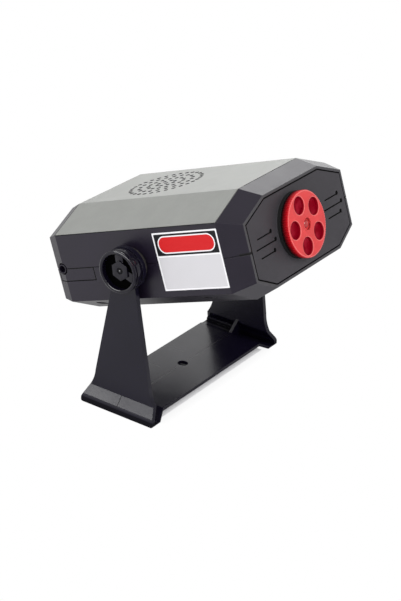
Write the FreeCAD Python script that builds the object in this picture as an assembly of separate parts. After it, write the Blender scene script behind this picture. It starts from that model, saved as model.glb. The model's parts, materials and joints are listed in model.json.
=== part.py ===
import FreeCAD, Part
import math
import os

# A small laser show projector: a faceted head that tilts between the arms of a moulded stand.
# The head is drawn level about its tilt pivot, front towards -Y, then tilted and lifted.
# All lengths are millimetres.

V = FreeCAD.Vector
ORIGIN = V(0, 0, 0)
X_AXIS = V(1, 0, 0)
Y_AXIS = V(0, 1, 0)
Z_AXIS = V(0, 0, 1)
FRONT = V(0, -1, 0)

# Shared clearances
overrun = 1.0
running_gap = 0.05
face_gap = 0.1
seam_gap = 0.35

# Flat sides of small, hidden or repeated round forms, which keep the mesh light
grille_hole_sides = 8
inner_sides = 12
window_sides = 18
knob_sides = 32
mouth_sides = 32

# Pose of the head on the stand
tilt_angle = 20.2
pivot_height = 80.1

# Head housing
head_width = 100.0
head_height = 53.5
side_height = 35.0
top_width = 52.6
bottom_width = 63.2
front_reach = 66.9
rear_reach = 50.0
front_bevel_depth = 11.9
rear_bevel_depth = 5.6
front_width = 89.5
front_height = 44.1
front_top_width = 49.6
front_bottom_width = 59.4
rear_inset = 2.0
wall = 2.4
parting_depth = 0.6
parting_width = 0.3

# Front panel, trapped between the two shells
panel_ring_width = 1.3
panel_groove = 0.7
panel_lip = 1.6
panel_flange = 1.8
panel_flange_overlap = 1.0
panel_rib = 1.6
panel_rib_reach = 1.5
collar_height = 2.0
boss_radius = 4.0
boss_depth = 3.0

# Vent slits of the front panel
slit_rows = 3
slit_pitch = 4.7
slit_centre_x = 31.0
slit_centre_z = -0.6
slit_long = 17.0
slit_short = 12.0
slit_height = 0.7
slit_depth = 1.2
slit_dot_radius = 1.1
slit_dot_lift = 0.5

# Silver top cover and its field of holes
cover_thickness = 1.2
grille_y = 7.6
grille_ring_pitch = 4.65
grille_ring_counts = (8, 15, 20, 30)
grille_hole_radius = 0.82

# Pattern wheel
wheel_x = -3.3
wheel_z = 0.8
wheel_radius = 16.4
wheel_thickness = 4.1
wheel_running_gap = 0.3
wheel_rib_count = 84
wheel_rib_depth = 0.3
wheel_edge_round = 0.5
window_count = 5
window_radius = 4.45
window_pitch_radius = 10.65
window_edge = 0.35
window_depth = 1.5
grating_radius = 5.0
grating_thickness = 0.6
hub_recess_radius = 3.0
hub_recess_depth = 1.2
hub_rim_width = 0.6
hub_rim_height = 0.25
wheel_screw_radius = 1.5
wheel_screw_head_radius = 2.0
wheel_screw_head_height = 1.1
wheel_washer_radius = 4.0

# Shares of a domed head's radius and height
dome_shares = ((1, 0), (1, 0.3), (0.8, 0.72), (0.45, 0.94), (0.15, 1))

# Laser, effect disc and their bracket, behind the front face
laser_setback = 11.9
laser_radius = 5.0
laser_length = 32.0
laser_bore_radius = 3.0
laser_bore_depth = 2.0
lens_thickness = 1.2
beam_hole_radius = 3.0
disc_setback = 8.9
disc_offset = 14.0
disc_radius = 18.0
disc_thickness = 1.0
disc_hub_radius = 3.0
disc_hub_length = 3.0
motor_radius = 7.5
motor_length = 18.0
motor_boss_radius = 3.0
motor_shaft_radius = 1.0
bracket_setback = 24.9
bracket_thickness = 2.0
bracket_foot = 12.0
bracket_margin = 3.0

# Speaker under the field of holes
speaker_radius = 22.5
speaker_mouth = 20.0
speaker_flange = 1.2
speaker_depth = 9.0
speaker_back_radius = 11.0
speaker_wall = 1.0
cone_thickness = 0.6
cone_neck_radius = 5.5
magnet_radius = 9.0
magnet_height = 5.0

# Battery bay, cells and door in the lower shell
cell_count = 3
cell_radius = 7.1
cell_length = 49.5
cell_tip_radius = 2.6
cell_tip_length = 1.0
cell_play = 0.3
bay_wall = 1.6
bay_setback = 42.0
contact_thickness = 0.8
contact_width = 9.0
door_thickness = 2.0
door_ledge = 1.5
door_gap = 0.2

# Main board and its parts
board_width = 56.0
board_length = 44.0
board_thickness = 1.6
board_offset = 4.0
board_height = 3.6
board_post_radius = 2.2
board_post_inset = 4.0
chip_size = 11.0
chip_height = 2.2
capacitor_radius = 3.2
capacitor_height = 7.5
capacitor_pitch = 9.0

# Input jack and the plate let into the side
jack_setback = 4.7
jack_z = -0.2
jack_bore_radius = 1.8
jack_bore_depth = 12.4
jack_nose_radius = 2.4
jack_nose_gap = 0.7
jack_length = 12.0
jack_height = 10.0
jack_width = 10.0
plate_reach = 20.2
plate_top_z = -0.3
plate_height = 6.3
plate_rear_margin = 1.5

# Power switch on the rear wall
switch_x = 18.0
switch_height = 14.75
switch_body_width = 13.0
switch_body_height = 7.0
switch_body_depth = 7.0
switch_travel = 3.0
slider_width = 4.0
slider_height = 3.0
slider_reach = 1.6
slider_foot = 2.0

# Case screws
screw_x = 42.0
screw_front_setback = 30.9
screw_rear_setback = 18.0
column_radius = 4.2
screw_well_radius = 3.2
screw_radius = 1.5
screw_head_radius = 2.8
screw_head_height = 2.0
screw_seat_depth = 8.0
screw_bite = 9.0

# Tilt pivot: bolt, washer, knob and insert
bolt_radius = 1.5
bolt_play = 0.1
bolt_head_radius = 5.0
bolt_head_height = 2.6
bolt_tip_drop = 2.4
pivot_gap = 3.6
washer_radius = 9.0
knob_radius = 10.9
knob_depth = 6.0
knob_edge = 0.6
knob_groove_depth = 0.45
knob_groove_width = 0.8
knob_groove_place = 1.5
knob_recess_radius = 8.7
knob_recess_depth = 4.4
knob_boss_radius = 5.2
knob_boss_sides = 6
knob_boss_drop = 2.2
knob_boss_turn = 49.6
knob_web_turns = (-8, -128)
knob_web_width = 4.6
knob_web_drop = 2.9
insert_radius = 3.2

# Stand
arm_thickness = 2.6
eye_radius = 11.0
arm_lean = 1.9
arm_half_width_low = 16.45
arm_half_width_high = 6.7
arm_low_z = 18.4
arm_high_z = 71.6
arm_flare_half_width = 19.6
arm_flare_share = 0.3
foot_top_z = 9.0
foot_knee_z = 3.7
foot_spread = 4.1
foot_knee_round = 3.0
foot_knee_half_length = 22.2
foot_half_length = 22.3
foot_end_z = 2.7
foot_end_round = 1.1
trough_run = 6.7
trough_floor = 1.3
base_half_depth = 19.2
base_top_z = 4.8
base_thickness = 1.7
base_hole_radius = 2.8
gusset_thickness = 1.6
gusset_rise = 5.6
plate_rib_thickness = 1.2
plate_rib_foot = 0.5
plate_rib_gap = 5.0
cross_rib_x = 11.0
cross_rib_setback = 6.0

# Places worked out from the sizes above
half_width = head_width / 2
half_height = head_height / 2
front_y = -front_reach
bevel_y = front_y + front_bevel_depth
rear_bevel_y = rear_reach - rear_bevel_depth
rear_inner_y = rear_reach - wall
jack_y = rear_reach - jack_setback
plate_front_y = jack_y - plate_reach
bay_centre_y = rear_reach - bay_setback
board_centre_y = bay_centre_y + board_offset
screw_front_y = front_y + screw_front_setback
screw_rear_y = rear_reach - screw_rear_setback
inner_half_width = half_width - wall
floor_z = -half_height + wall
ceiling_z = half_height - wall
fold_z = side_height / 2
upper_angle = math.atan2(head_height - side_height, head_width - top_width)
lower_angle = math.atan2(head_height - side_height, head_width - bottom_width)
flange_y = front_y + panel_lip
flange_back_y = flange_y + panel_flange
cavity_front_y = flange_back_y + panel_rib
collar_y = front_y - collar_height
wheel_back_y = collar_y - wheel_running_gap
wheel_face_y = wheel_back_y - wheel_thickness
hub_floor_y = wheel_face_y + hub_recess_depth
grating_y = wheel_face_y + window_depth
laser_front_y = front_y + laser_setback
disc_y = front_y + disc_setback
bracket_y = front_y + bracket_setback
beam_x = wheel_x - window_pitch_radius
disc_x = beam_x + disc_offset
cell_z = -half_height + door_thickness + cell_play + cell_radius
cell_pitch = 2 * cell_radius + cell_play
bay_half_width = cell_count * cell_pitch / 2 + cell_play
bay_half_length = (cell_length + cell_tip_length) / 2 + contact_thickness + cell_play
bay_top_z = cell_z + cell_radius + cell_play
bay_roof_z = bay_top_z + bay_wall
board_z = bay_roof_z + board_height
board_top_z = board_z + board_thickness
switch_z = -half_height + switch_height
slot_half_width = (slider_width + switch_travel) / 2 + face_gap
slot_half_height = slider_height / 2 + face_gap
eye_inner_x = half_width + pivot_gap
eye_outer_x = eye_inner_x + arm_thickness
eye_base_z = pivot_height - eye_radius
arm_inner_x = eye_inner_x - arm_lean
arm_outer_x = arm_inner_x + arm_thickness
knob_seat_x = eye_outer_x + face_gap
knob_face_x = knob_seat_x + knob_depth
foot_outer_x = arm_outer_x + foot_spread
foot_inner_x = foot_outer_x - arm_thickness
plate_edge_x = arm_inner_x - trough_run


def block(x, y, z):
    """A box between (low, high) pairs."""
    return Part.makeBox(x[1] - x[0], y[1] - y[0], z[1] - z[0], V(x[0], y[0], z[0]))


def centred(x, half_x, y, z):
    """A box that is centred on x, between (low, high) pairs in y and z."""
    return block((x - half_x, x + half_x), y, z)


def extruded(points, direction):
    """A prism on a closed outline of points."""
    return Part.Face(Part.makePolygon(points + points[:1])).extrude(direction)


def around(count, radius, start=0):
    """Points spaced evenly on a circle, as (across, up) pairs."""
    angles = [math.radians(start) + 2 * math.pi * i / count for i in range(count)]
    return [(radius * math.cos(a), radius * math.sin(a)) for a in angles]


def faceted(rings):
    """A solid with flat facets through matching rings of corners."""
    faces = [Part.Face(Part.makePolygon(r + r[:1])) for r in (rings[0], rings[-1])]
    for low, high in zip(rings, rings[1:]):
        for i in range(len(low)):
            j = (i + 1) % len(low)
            faces.append(Part.Face(Part.makePolygon([low[i], low[j], high[j], high[i], low[i]])))
    shell = Part.Shell(faces)
    shell.sewShape()
    solid = Part.Solid(shell)
    if solid.Volume < 0:
        solid.reverse()
    return solid


def stacked(profile, start, direction, sides):
    """A turned form with flat sides, from (radius, height) pairs along a direction."""
    rings = [[V(x, y, height) for x, y in around(sides, radius)] for radius, height in profile]
    solid = faceted(rings)
    solid.Placement = FreeCAD.Placement(start, FreeCAD.Rotation(Z_AXIS, direction))
    return solid


def rod(radius, start, direction, length):
    return Part.makeCylinder(radius, length, start, direction)


def peg(radius, start, direction, length, sides=inner_sides):
    """A light rod with flat sides."""
    return stacked([(radius, 0), (radius, length)], start, direction, sides)


def tube(outer, inner, start, direction, length, sides=inner_sides):
    """A light tube or washer with flat sides."""
    return peg(outer, start, direction, length, sides).cut(peg(inner, start, direction, length, sides))


def section(width, height, top, bottom):
    """Distances from the head's axis to its side, top or bottom, upper and lower chamfer planes."""
    upper = top / 2 * math.sin(upper_angle) + height / 2 * math.cos(upper_angle)
    lower = bottom / 2 * math.sin(lower_angle) + height / 2 * math.cos(lower_angle)
    return (width / 2, height / 2, upper, lower)


def inset(planes, depth):
    return tuple(distance - depth for distance in planes)


def between(planes_a, planes_b, share):
    return tuple(a + (b - a) * share for a, b in zip(planes_a, planes_b))


def ring(planes, y):
    """The eight corners of a section of the head at y."""
    side, half, upper, lower = planes
    right = [
        ((lower - half * math.cos(lower_angle)) / math.sin(lower_angle), -half),
        (side, -(lower - side * math.sin(lower_angle)) / math.cos(lower_angle)),
        (side, (upper - side * math.sin(upper_angle)) / math.cos(upper_angle)),
        ((upper - half * math.cos(upper_angle)) / math.sin(upper_angle), half),
    ]
    return [V(x, y, z) for x, z in mirrored(right)]


def mirrored(points):
    """An outline of (across, up) points, closed by its mirror image."""
    return points + [(-across, up) for across, up in reversed(points)]


def prism(planes, y):
    """A length of the head's section between a (low, high) pair in y."""
    return faceted([ring(planes, y[0]), ring(planes, y[1])])


def slab(low, high):
    """Everything near the head between two heights."""
    reach = head_width + front_reach
    return block((-reach, reach), (-reach, reach), (low, high))


main_section = section(head_width, head_height, top_width, bottom_width)
front_section = section(front_width, front_height, front_top_width, front_bottom_width)
rear_section = inset(main_section, rear_inset)


def head_hull(depth):
    """The head's outer form, drawn in by a depth round its sides."""
    return faceted([
        ring(inset(front_section, depth), front_y),
        ring(inset(main_section, depth), bevel_y),
        ring(inset(main_section, depth), rear_bevel_y),
        ring(inset(rear_section, depth), rear_reach),
    ])


def head_cavity():
    share = (cavity_front_y - front_y) / front_bevel_depth
    return faceted([
        ring(inset(between(front_section, main_section, share), wall), cavity_front_y),
        ring(inset(main_section, wall), bevel_y),
        ring(inset(main_section, wall), rear_bevel_y),
        ring(inset(rear_section, wall), rear_inner_y),
    ])


def panel_opening():
    """The stepped opening in both shells that traps the front panel."""
    mouth = prism(inset(front_section, panel_ring_width), (front_y - overrun, flange_back_y))
    slot_inset = panel_ring_width - panel_flange_overlap - face_gap
    slot = prism(inset(front_section, slot_inset), (flange_y, flange_back_y))
    rib_inset = panel_ring_width + panel_rib_reach
    through = prism(inset(front_section, rib_inset), (flange_y, cavity_front_y + overrun))
    return mouth.fuse([slot, through])


def cover_region(gap):
    """The skin over the top and upper chamfers, with a gap round its edges."""
    y = (bevel_y + face_gap - gap, rear_bevel_y - face_gap + gap)
    skin = prism(inset(main_section, -gap), y).cut(prism(inset(main_section, cover_thickness), y))
    return skin.common(slab(fold_z - gap, head_height))


def bolt_hole(start, direction, length):
    """A hole whose flat sides clear the pivot bolt at any turn."""
    return peg(bolt_radius + bolt_play, start, direction, length)


def pivot_holes():
    return bolt_hole(V(-half_width - overrun, 0, 0), X_AXIS, 2 * (half_width + overrun))


def jack_hole():
    """The hole round the jack's nose, through the wall and its inner slope."""
    start = V(-half_width - overrun, jack_y, jack_z)
    return rod(jack_nose_radius + jack_nose_gap, start, X_AXIS, overrun + wall + rear_inset)


def screw_places():
    return [(x, y) for x in (-screw_x, screw_x) for y in (screw_front_y, screw_rear_y)]


def columns(z):
    """Four screw columns between a (low, high) pair, trimmed to the inside of the walls."""
    posts = [peg(column_radius, V(x, y, z[0]), Z_AXIS, z[1] - z[0]) for x, y in screw_places()]
    return [post.common(prism(inset(main_section, wall / 2), (front_y, rear_reach))) for post in posts]


def shell_blank(z):
    """The hollow head between a (low, high) pair in height."""
    return head_hull(0).cut([head_cavity(), panel_opening()]).common(slab(z[0], z[1]))


def upper_shell():
    shell = shell_blank((0, head_height)).fuse(columns((0, half_height)))
    mouth = peg(speaker_mouth, V(0, grille_y, ceiling_z - overrun), Z_AXIS, wall + 2 * overrun, mouth_sides)
    bites = [peg(screw_radius + running_gap, V(x, y, -overrun), Z_AXIS, screw_bite + overrun)
             for x, y in screw_places()]
    return shell.cut([cover_region(seam_gap), mouth, pivot_holes(), jack_hole()] + bites)


def battery_bay():
    """The inside of the battery bay, open at the bottom, with the ledge for its door."""
    y = (bay_centre_y - bay_half_length, bay_centre_y + bay_half_length)
    room = centred(0, bay_half_width, y, (-head_height, bay_top_z))
    return room.fuse(door_outline(door_ledge, (-head_height, -half_height + door_thickness)))


def door_outline(ledge, z):
    y = (bay_centre_y - bay_half_length - ledge, bay_centre_y + bay_half_length + ledge)
    return centred(0, bay_half_width + ledge, y, z)


def jack_plate_room(gap):
    """The piece of the side wall that the jack plate takes, with a gap round it."""
    y = (plate_front_y - gap, rear_reach - plate_rear_margin + gap)
    z = (plate_top_z - plate_height - gap, plate_top_z + gap)
    return block((-half_width - overrun, -inner_half_width), y, z)


def switch_slot():
    y = (rear_inner_y - slider_foot - face_gap, rear_reach + overrun)
    z = (switch_z - slot_half_height, switch_z + slot_half_height)
    return centred(switch_x, slot_half_width, y, z)


def lower_shell():
    shell = shell_blank((-head_height, 0))
    bay = door_outline(door_ledge + bay_wall, (floor_z - wall / 2, bay_roof_z))
    posts = [peg(board_post_radius, V(x, y, bay_roof_z), Z_AXIS, board_height) for x, y in board_posts()]
    shell = shell.fuse([bay] + columns((-half_height, -seam_gap)) + posts)
    groove = slab(-parting_width, 0).cut(head_hull(parting_depth))
    wells = [peg(screw_well_radius, V(x, y, -head_height), Z_AXIS, head_height - screw_seat_depth)
             for x, y in screw_places()]
    shafts = [peg(screw_radius + running_gap, V(x, y, -head_height), Z_AXIS, head_height)
              for x, y in screw_places()]
    cuts = [battery_bay(), groove, pivot_holes(), jack_hole(), jack_plate_room(seam_gap), switch_slot()]
    return shell.cut(cuts + wells + shafts)


def top_cover():
    holes = [V(0, grille_y, ceiling_z)]
    for number, count in enumerate(grille_ring_counts, 1):
        for x, y in around(count, number * grille_ring_pitch):
            holes.append(V(x, grille_y + y, ceiling_z))
    drills = [peg(grille_hole_radius, at, Z_AXIS, 2 * wall, grille_hole_sides) for at in holes]
    return cover_region(0).cut(drills)


def vent_slits():
    """Three slits on each side of the panel, each ending in a round dot."""
    cuts = []
    for side in (-1, 1):
        for row in range(slit_rows):
            middle = row == slit_rows // 2
            half = (slit_long if middle else slit_short) / 2
            x = side * slit_centre_x
            z = slit_centre_z + (row - slit_rows // 2) * slit_pitch
            y = (front_y - overrun, front_y + slit_depth)
            cuts.append(centred(x, half, y, (z - slit_height / 2, z + slit_height / 2)))
            dot = V(x + half, y[0], z + slit_dot_lift)
            cuts.append(peg(slit_dot_radius, dot, Y_AXIS, overrun + slit_depth))
    return cuts


def front_panel():
    face = prism(inset(front_section, panel_ring_width + panel_groove), (front_y, flange_back_y))
    flange_inset = panel_ring_width - panel_flange_overlap
    flange = prism(inset(front_section, flange_inset), (flange_y, flange_back_y))
    collar = peg(wheel_radius, wheel_point(0, 0, front_y), FRONT, collar_height, 2 * mouth_sides)
    boss = peg(boss_radius, wheel_point(0, 0, flange_back_y), Y_AXIS, boss_depth)
    depth = flange_back_y + boss_depth - collar_y + 2 * overrun
    start = collar_y - overrun
    screw_hole = peg(wheel_screw_radius + running_gap, wheel_point(0, 0, start), Y_AXIS, depth)
    beam_hole = peg(beam_hole_radius, V(beam_x, start, wheel_z), Y_AXIS, depth)
    return face.fuse([flange, collar, boss]).cut([screw_hole, beam_hole] + vent_slits())


def wheel_point(across, up, y):
    return V(wheel_x + across, y, wheel_z + up)


def window_points():
    """The windows' centres: one of them lies in front of the beam."""
    return around(window_count, window_pitch_radius, 180)


def wheel_ring(y, share):
    """A ring of ribs round the wheel, drawn in by a share of its radius."""
    points = []
    for number, (x, z) in enumerate(around(2 * wheel_rib_count, wheel_radius)):
        valley = (number % 2) * wheel_rib_depth / wheel_radius
        points.append(wheel_point(x * share * (1 - valley), z * share * (1 - valley), y))
    return points


def pattern_wheel():
    """A ribbed wheel with a sunk hub and stepped windows."""
    face_share = (wheel_radius - wheel_edge_round) / wheel_radius
    body = faceted([
        wheel_ring(wheel_back_y, 1),
        wheel_ring(wheel_face_y + wheel_edge_round, 1),
        wheel_ring(wheel_face_y, face_share),
    ])
    hub_floor = wheel_point(0, 0, hub_floor_y)
    rim_height = hub_recess_depth + hub_rim_height
    rim = peg(hub_recess_radius + hub_rim_width, hub_floor, FRONT, rim_height, window_sides)
    recess = peg(hub_recess_radius, hub_floor, FRONT, hub_recess_depth + overrun, window_sides)
    bore_start = wheel_point(0, 0, wheel_back_y + overrun)
    bore = peg(wheel_screw_radius + running_gap, bore_start, FRONT, wheel_thickness + overrun)
    pocket = wheel_thickness - window_depth
    window = [
        (grating_radius, -overrun),
        (grating_radius, pocket),
        (window_radius, pocket),
        (window_radius, wheel_thickness - window_edge),
        (window_radius + window_edge + overrun, wheel_thickness + overrun),
    ]
    windows = [stacked(window, wheel_point(x, z, wheel_back_y), FRONT, window_sides)
               for x, z in window_points()]
    return body.fuse(rim).cut([recess, bore] + windows)


def wheel_gratings():
    """Film discs against the steps of the windows."""
    radius = grating_radius - running_gap
    discs = [peg(radius, wheel_point(x, z, grating_y), Y_AXIS, grating_thickness, window_sides)
             for x, z in window_points()]
    return Part.makeCompound(discs)


def wheel_screw():
    """A screw with a domed head in the hub."""
    head_y = hub_floor_y - running_gap
    shank = peg(wheel_screw_radius, wheel_point(0, 0, head_y), Y_AXIS, cavity_front_y - head_y)
    dome = [(wheel_screw_head_radius * radius, wheel_screw_head_height * height)
            for radius, height in dome_shares]
    return shank.fuse(stacked(dome, wheel_point(0, 0, head_y), FRONT, inner_sides))


def wheel_washer():
    inner = wheel_screw_radius + running_gap
    thickness = wheel_running_gap - running_gap
    return tube(wheel_washer_radius, inner, wheel_point(0, 0, collar_y), FRONT, thickness)


def laser_barrel():
    start = V(beam_x, laser_front_y, wheel_z)
    barrel = peg(laser_radius, start, Y_AXIS, laser_length)
    return barrel.cut(peg(laser_bore_radius, start, Y_AXIS, laser_bore_depth))


def laser_lens():
    seat = V(beam_x, laser_front_y + laser_bore_depth, wheel_z)
    return peg(laser_bore_radius - running_gap, seat, FRONT, lens_thickness)


def optics_bracket():
    """A plate on the floor that carries the laser and the motor side by side."""
    left = beam_x - laser_radius - bracket_margin
    right = disc_x + motor_radius + bracket_margin
    top = wheel_z + motor_radius + bracket_margin
    front = bracket_y - bracket_thickness
    plate = block((left, right), (front, bracket_y), (floor_z, top))
    foot = block((left, right), (bracket_y - bracket_foot, bracket_y), (floor_z, floor_z + bracket_thickness))
    laser_hole = peg(laser_radius + running_gap, V(beam_x, front, wheel_z), Y_AXIS, bracket_thickness)
    motor_hole = peg(motor_boss_radius + running_gap, V(disc_x, front, wheel_z), Y_AXIS, bracket_thickness)
    return plate.fuse(foot).cut([laser_hole, motor_hole])


def disc_motor():
    can = peg(motor_radius, V(disc_x, bracket_y, wheel_z), Y_AXIS, motor_length)
    boss_start = V(disc_x, bracket_y - bracket_thickness, wheel_z)
    boss = peg(motor_boss_radius, boss_start, Y_AXIS, bracket_thickness)
    bore = peg(motor_shaft_radius + running_gap, boss_start, Y_AXIS, motor_length)
    return can.fuse(boss).cut(bore)


def motor_shaft():
    length = bracket_y + motor_length / 2 - disc_y
    return peg(motor_shaft_radius, V(disc_x, disc_y, wheel_z), Y_AXIS, length)


def disc_hub():
    start = V(disc_x, disc_y + disc_thickness, wheel_z)
    return tube(disc_hub_radius, motor_shaft_radius, start, Y_AXIS, disc_hub_length)


def effect_disc():
    start = V(disc_x, disc_y, wheel_z)
    disc = peg(disc_radius, start, Y_AXIS, disc_thickness, window_sides)
    return disc.cut(peg(motor_shaft_radius, start, Y_AXIS, disc_thickness))


def speaker_frame():
    """A pressed basket, hung under the ceiling by its flange."""
    hang = V(0, grille_y, ceiling_z)
    outside = [
        (speaker_radius, 0),
        (speaker_radius, speaker_flange),
        (speaker_mouth, speaker_flange),
        (speaker_back_radius, speaker_depth),
    ]
    inside = [
        (speaker_mouth - speaker_wall, 0),
        (speaker_mouth - speaker_wall, speaker_flange),
        (speaker_back_radius - speaker_wall, speaker_depth - speaker_wall),
    ]
    basket = stacked(outside, hang, -Z_AXIS, window_sides)
    return basket.cut(stacked(inside, hang, -Z_AXIS, window_sides))


def speaker_cone():
    """A paper cone inside the basket, closed by a flat dust cap."""
    hang = V(0, grille_y, ceiling_z)
    rim = speaker_mouth - speaker_wall - face_gap
    neck_depth = speaker_depth - 2 * speaker_wall
    outside = [(rim, 0), (rim, speaker_flange), (cone_neck_radius, neck_depth)]
    inside = [
        (rim - cone_thickness, 0),
        (rim - cone_thickness, speaker_flange),
        (cone_neck_radius - cone_thickness, neck_depth - cone_thickness),
    ]
    cone = stacked(outside, hang, -Z_AXIS, window_sides)
    return cone.cut(stacked(inside, hang, -Z_AXIS, window_sides))


def speaker_magnet():
    return peg(magnet_radius, V(0, grille_y, ceiling_z - speaker_depth), -Z_AXIS, magnet_height)


def board_posts():
    """Posts on the roof of the battery bay, over its side walls."""
    half_y = board_length / 2 - board_post_inset
    return [(x, board_centre_y + y) for x in (-bay_half_width, bay_half_width) for y in (-half_y, half_y)]


def main_board():
    y = (board_centre_y - board_length / 2, board_centre_y + board_length / 2)
    return centred(0, board_width / 2, y, (board_z, board_top_z))


def board_chip():
    y = (board_centre_y - chip_size / 2, board_centre_y + chip_size / 2)
    return centred(-board_width / 4, chip_size / 2, y, (board_top_z, board_top_z + chip_height))


def board_capacitors():
    places = [board_centre_y - capacitor_pitch / 2, board_centre_y + capacitor_pitch / 2]
    cans = [peg(capacitor_radius, V(board_width / 4, y, board_top_z), Z_AXIS, capacitor_height) for y in places]
    return Part.makeCompound(cans)


def cell_places():
    middle = (cell_count - 1) / 2
    return [(number - middle) * cell_pitch for number in range(cell_count)]


def battery_cells():
    """Cells side by side: neighbours lie head to tail."""
    cells = []
    for number, x in enumerate(cell_places()):
        way = 1 if number % 2 == 0 else -1
        start = V(x, bay_centre_y - way * (cell_length + cell_tip_length) / 2, cell_z)
        can = [(cell_radius, 0), (cell_radius, cell_length)]
        tip = [(cell_tip_radius, cell_length), (cell_tip_radius, cell_length + cell_tip_length)]
        cells.append(stacked(can + tip, start, Y_AXIS * way, inner_sides))
    return Part.makeCompound(cells)


def battery_contacts():
    """A sprung plate at each end of each cell."""
    plates = []
    reach = bay_half_length - contact_thickness
    for x in cell_places():
        for y in (bay_centre_y - bay_half_length, bay_centre_y + reach):
            z = (cell_z - contact_width / 2, cell_z + contact_width / 2)
            plates.append(centred(x, contact_width / 2, (y, y + contact_thickness), z))
    return Part.makeCompound(plates)


def battery_door():
    return door_outline(door_ledge - door_gap, (-half_height, -half_height + door_thickness - running_gap))


def jack_plate():
    wall_piece = head_hull(0).cut(head_cavity())
    return wall_piece.common(jack_plate_room(0)).cut(jack_hole())


def input_jack():
    """A body in the rear corner, with a nose that comes flush with the side."""
    mouth = V(-half_width, jack_y, jack_z)
    y = (jack_y - jack_width / 2, rear_reach)
    z = (jack_z - jack_height / 2, jack_z + jack_height / 2)
    body = block((-half_width, -inner_half_width + jack_length), y, z).common(head_cavity())
    nose = rod(jack_nose_radius, mouth, X_AXIS, wall + rear_inset)
    return body.fuse(nose).cut(rod(jack_bore_radius, mouth, X_AXIS, jack_bore_depth))


def switch_body():
    y = (rear_inner_y - switch_body_depth, rear_inner_y)
    z = (switch_z - switch_body_height / 2, switch_z + switch_body_height / 2)
    return centred(switch_x, switch_body_width / 2, y, z).cut(switch_slot())


def switch_slider():
    """The slider at the end of its slot where the switch is off."""
    x = switch_x - switch_travel / 2
    y = (rear_inner_y - slider_foot, rear_reach + slider_reach)
    z = (switch_z - slider_height / 2, switch_z + slider_height / 2)
    return centred(x, slider_width / 2, y, z)


def case_screws():
    screws = []
    for x, y in screw_places():
        seat = V(x, y, -screw_seat_depth)
        head = peg(screw_head_radius, seat, -Z_AXIS, screw_head_height)
        shank = peg(screw_radius, seat, Z_AXIS, screw_seat_depth + screw_bite - face_gap)
        screws.append(head.fuse(shank))
    return Part.makeCompound(screws)


def pivot_bolt():
    """The left bolt: its head lies inside the head's wall, its tip shows in the knob."""
    tip_x = knob_face_x - bolt_tip_drop
    head = peg(bolt_head_radius, V(-inner_half_width, 0, 0), X_AXIS, bolt_head_height)
    shank = peg(bolt_radius, V(-inner_half_width, 0, 0), -X_AXIS, tip_x - inner_half_width)
    return head.fuse(shank)


def friction_washer():
    """The left washer, between the head and the arm."""
    thickness = pivot_gap - running_gap
    start = V(-eye_inner_x, 0, 0)
    washer = peg(washer_radius, start, X_AXIS, thickness, window_sides)
    return washer.cut(bolt_hole(start, X_AXIS, thickness))


def clamp_knob():
    """The left knob: a cup with a hexagonal boss that two webs tie to its rim."""
    groove_high = knob_depth - knob_groove_place
    groove_low = groove_high - knob_groove_width
    floor = knob_depth - knob_recess_depth
    cup = stacked([
        (knob_radius - knob_edge, 0),
        (knob_radius, knob_edge),
        (knob_radius, groove_low),
        (knob_radius - knob_groove_depth, groove_low),
        (knob_radius - knob_groove_depth, groove_high),
        (knob_radius, groove_high),
        (knob_radius, knob_depth - knob_edge),
        (knob_radius - knob_edge, knob_depth),
    ], ORIGIN, Z_AXIS, knob_sides)
    recess = peg(knob_recess_radius, Z_AXIS * floor, Z_AXIS, knob_depth, knob_sides)
    boss = peg(knob_boss_radius, ORIGIN, Z_AXIS, knob_depth - knob_boss_drop, knob_boss_sides)
    boss.rotate(ORIGIN, Z_AXIS, knob_boss_turn)
    webs = []
    reach = (knob_radius + knob_recess_radius) / 2
    for turn in knob_web_turns:
        web = block((0, reach), (-knob_web_width / 2, knob_web_width / 2), (0, knob_depth - knob_web_drop))
        web.rotate(ORIGIN, Z_AXIS, turn)
        webs.append(web)
    seat = peg(insert_radius, ORIGIN, Z_AXIS, floor)
    hole = bolt_hole(ORIGIN, Z_AXIS, knob_depth)
    knob = cup.cut(recess).fuse([boss] + webs).cut([seat, hole])
    knob.Placement = FreeCAD.Placement(V(-knob_seat_x, 0, 0), FreeCAD.Rotation(Z_AXIS, -X_AXIS))
    return knob


def knob_insert():
    """A brass insert in the left knob's root."""
    start = V(-knob_seat_x, 0, 0)
    length = knob_depth - knob_recess_depth
    insert = peg(insert_radius, start, -X_AXIS, length)
    return insert.cut(bolt_hole(start, -X_AXIS, length))


def opposite(shape):
    """The same piece on the other side of the head."""
    turned_round = shape.copy()
    turned_round.rotate(ORIGIN, Z_AXIS, 180)
    return turned_round


def stand_section():
    """The stand's sheet from the front: a plate, a trough at each end, spread feet and leaning arms."""
    top = pivot_height + eye_radius
    underside = base_top_z - base_thickness
    slope_run = trough_run * underside / (base_top_z - trough_floor)
    right = [
        (plate_edge_x, underside),
        (plate_edge_x + slope_run, 0),
        (foot_outer_x, 0),
        (foot_outer_x, foot_knee_z),
        (arm_outer_x, foot_top_z),
        (eye_outer_x, eye_base_z),
        (eye_outer_x, top),
        (eye_inner_x, top),
        (eye_inner_x, eye_base_z),
        (arm_inner_x, foot_top_z),
        (foot_inner_x, foot_knee_z),
        (foot_inner_x, trough_floor),
        (arm_inner_x, trough_floor),
        (plate_edge_x, base_top_z),
    ]
    points = [V(x, -foot_half_length, z) for x, z in mirrored(right)]
    sheet = extruded(points, Y_AXIS * 2 * foot_half_length)
    knees = [edge for edge in sheet.Edges
             if abs(edge.CenterOfMass.x) > foot_outer_x - face_gap
             and abs(edge.CenterOfMass.z - foot_knee_z) < face_gap]
    return sheet.makeFillet(foot_knee_round, knees)


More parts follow.
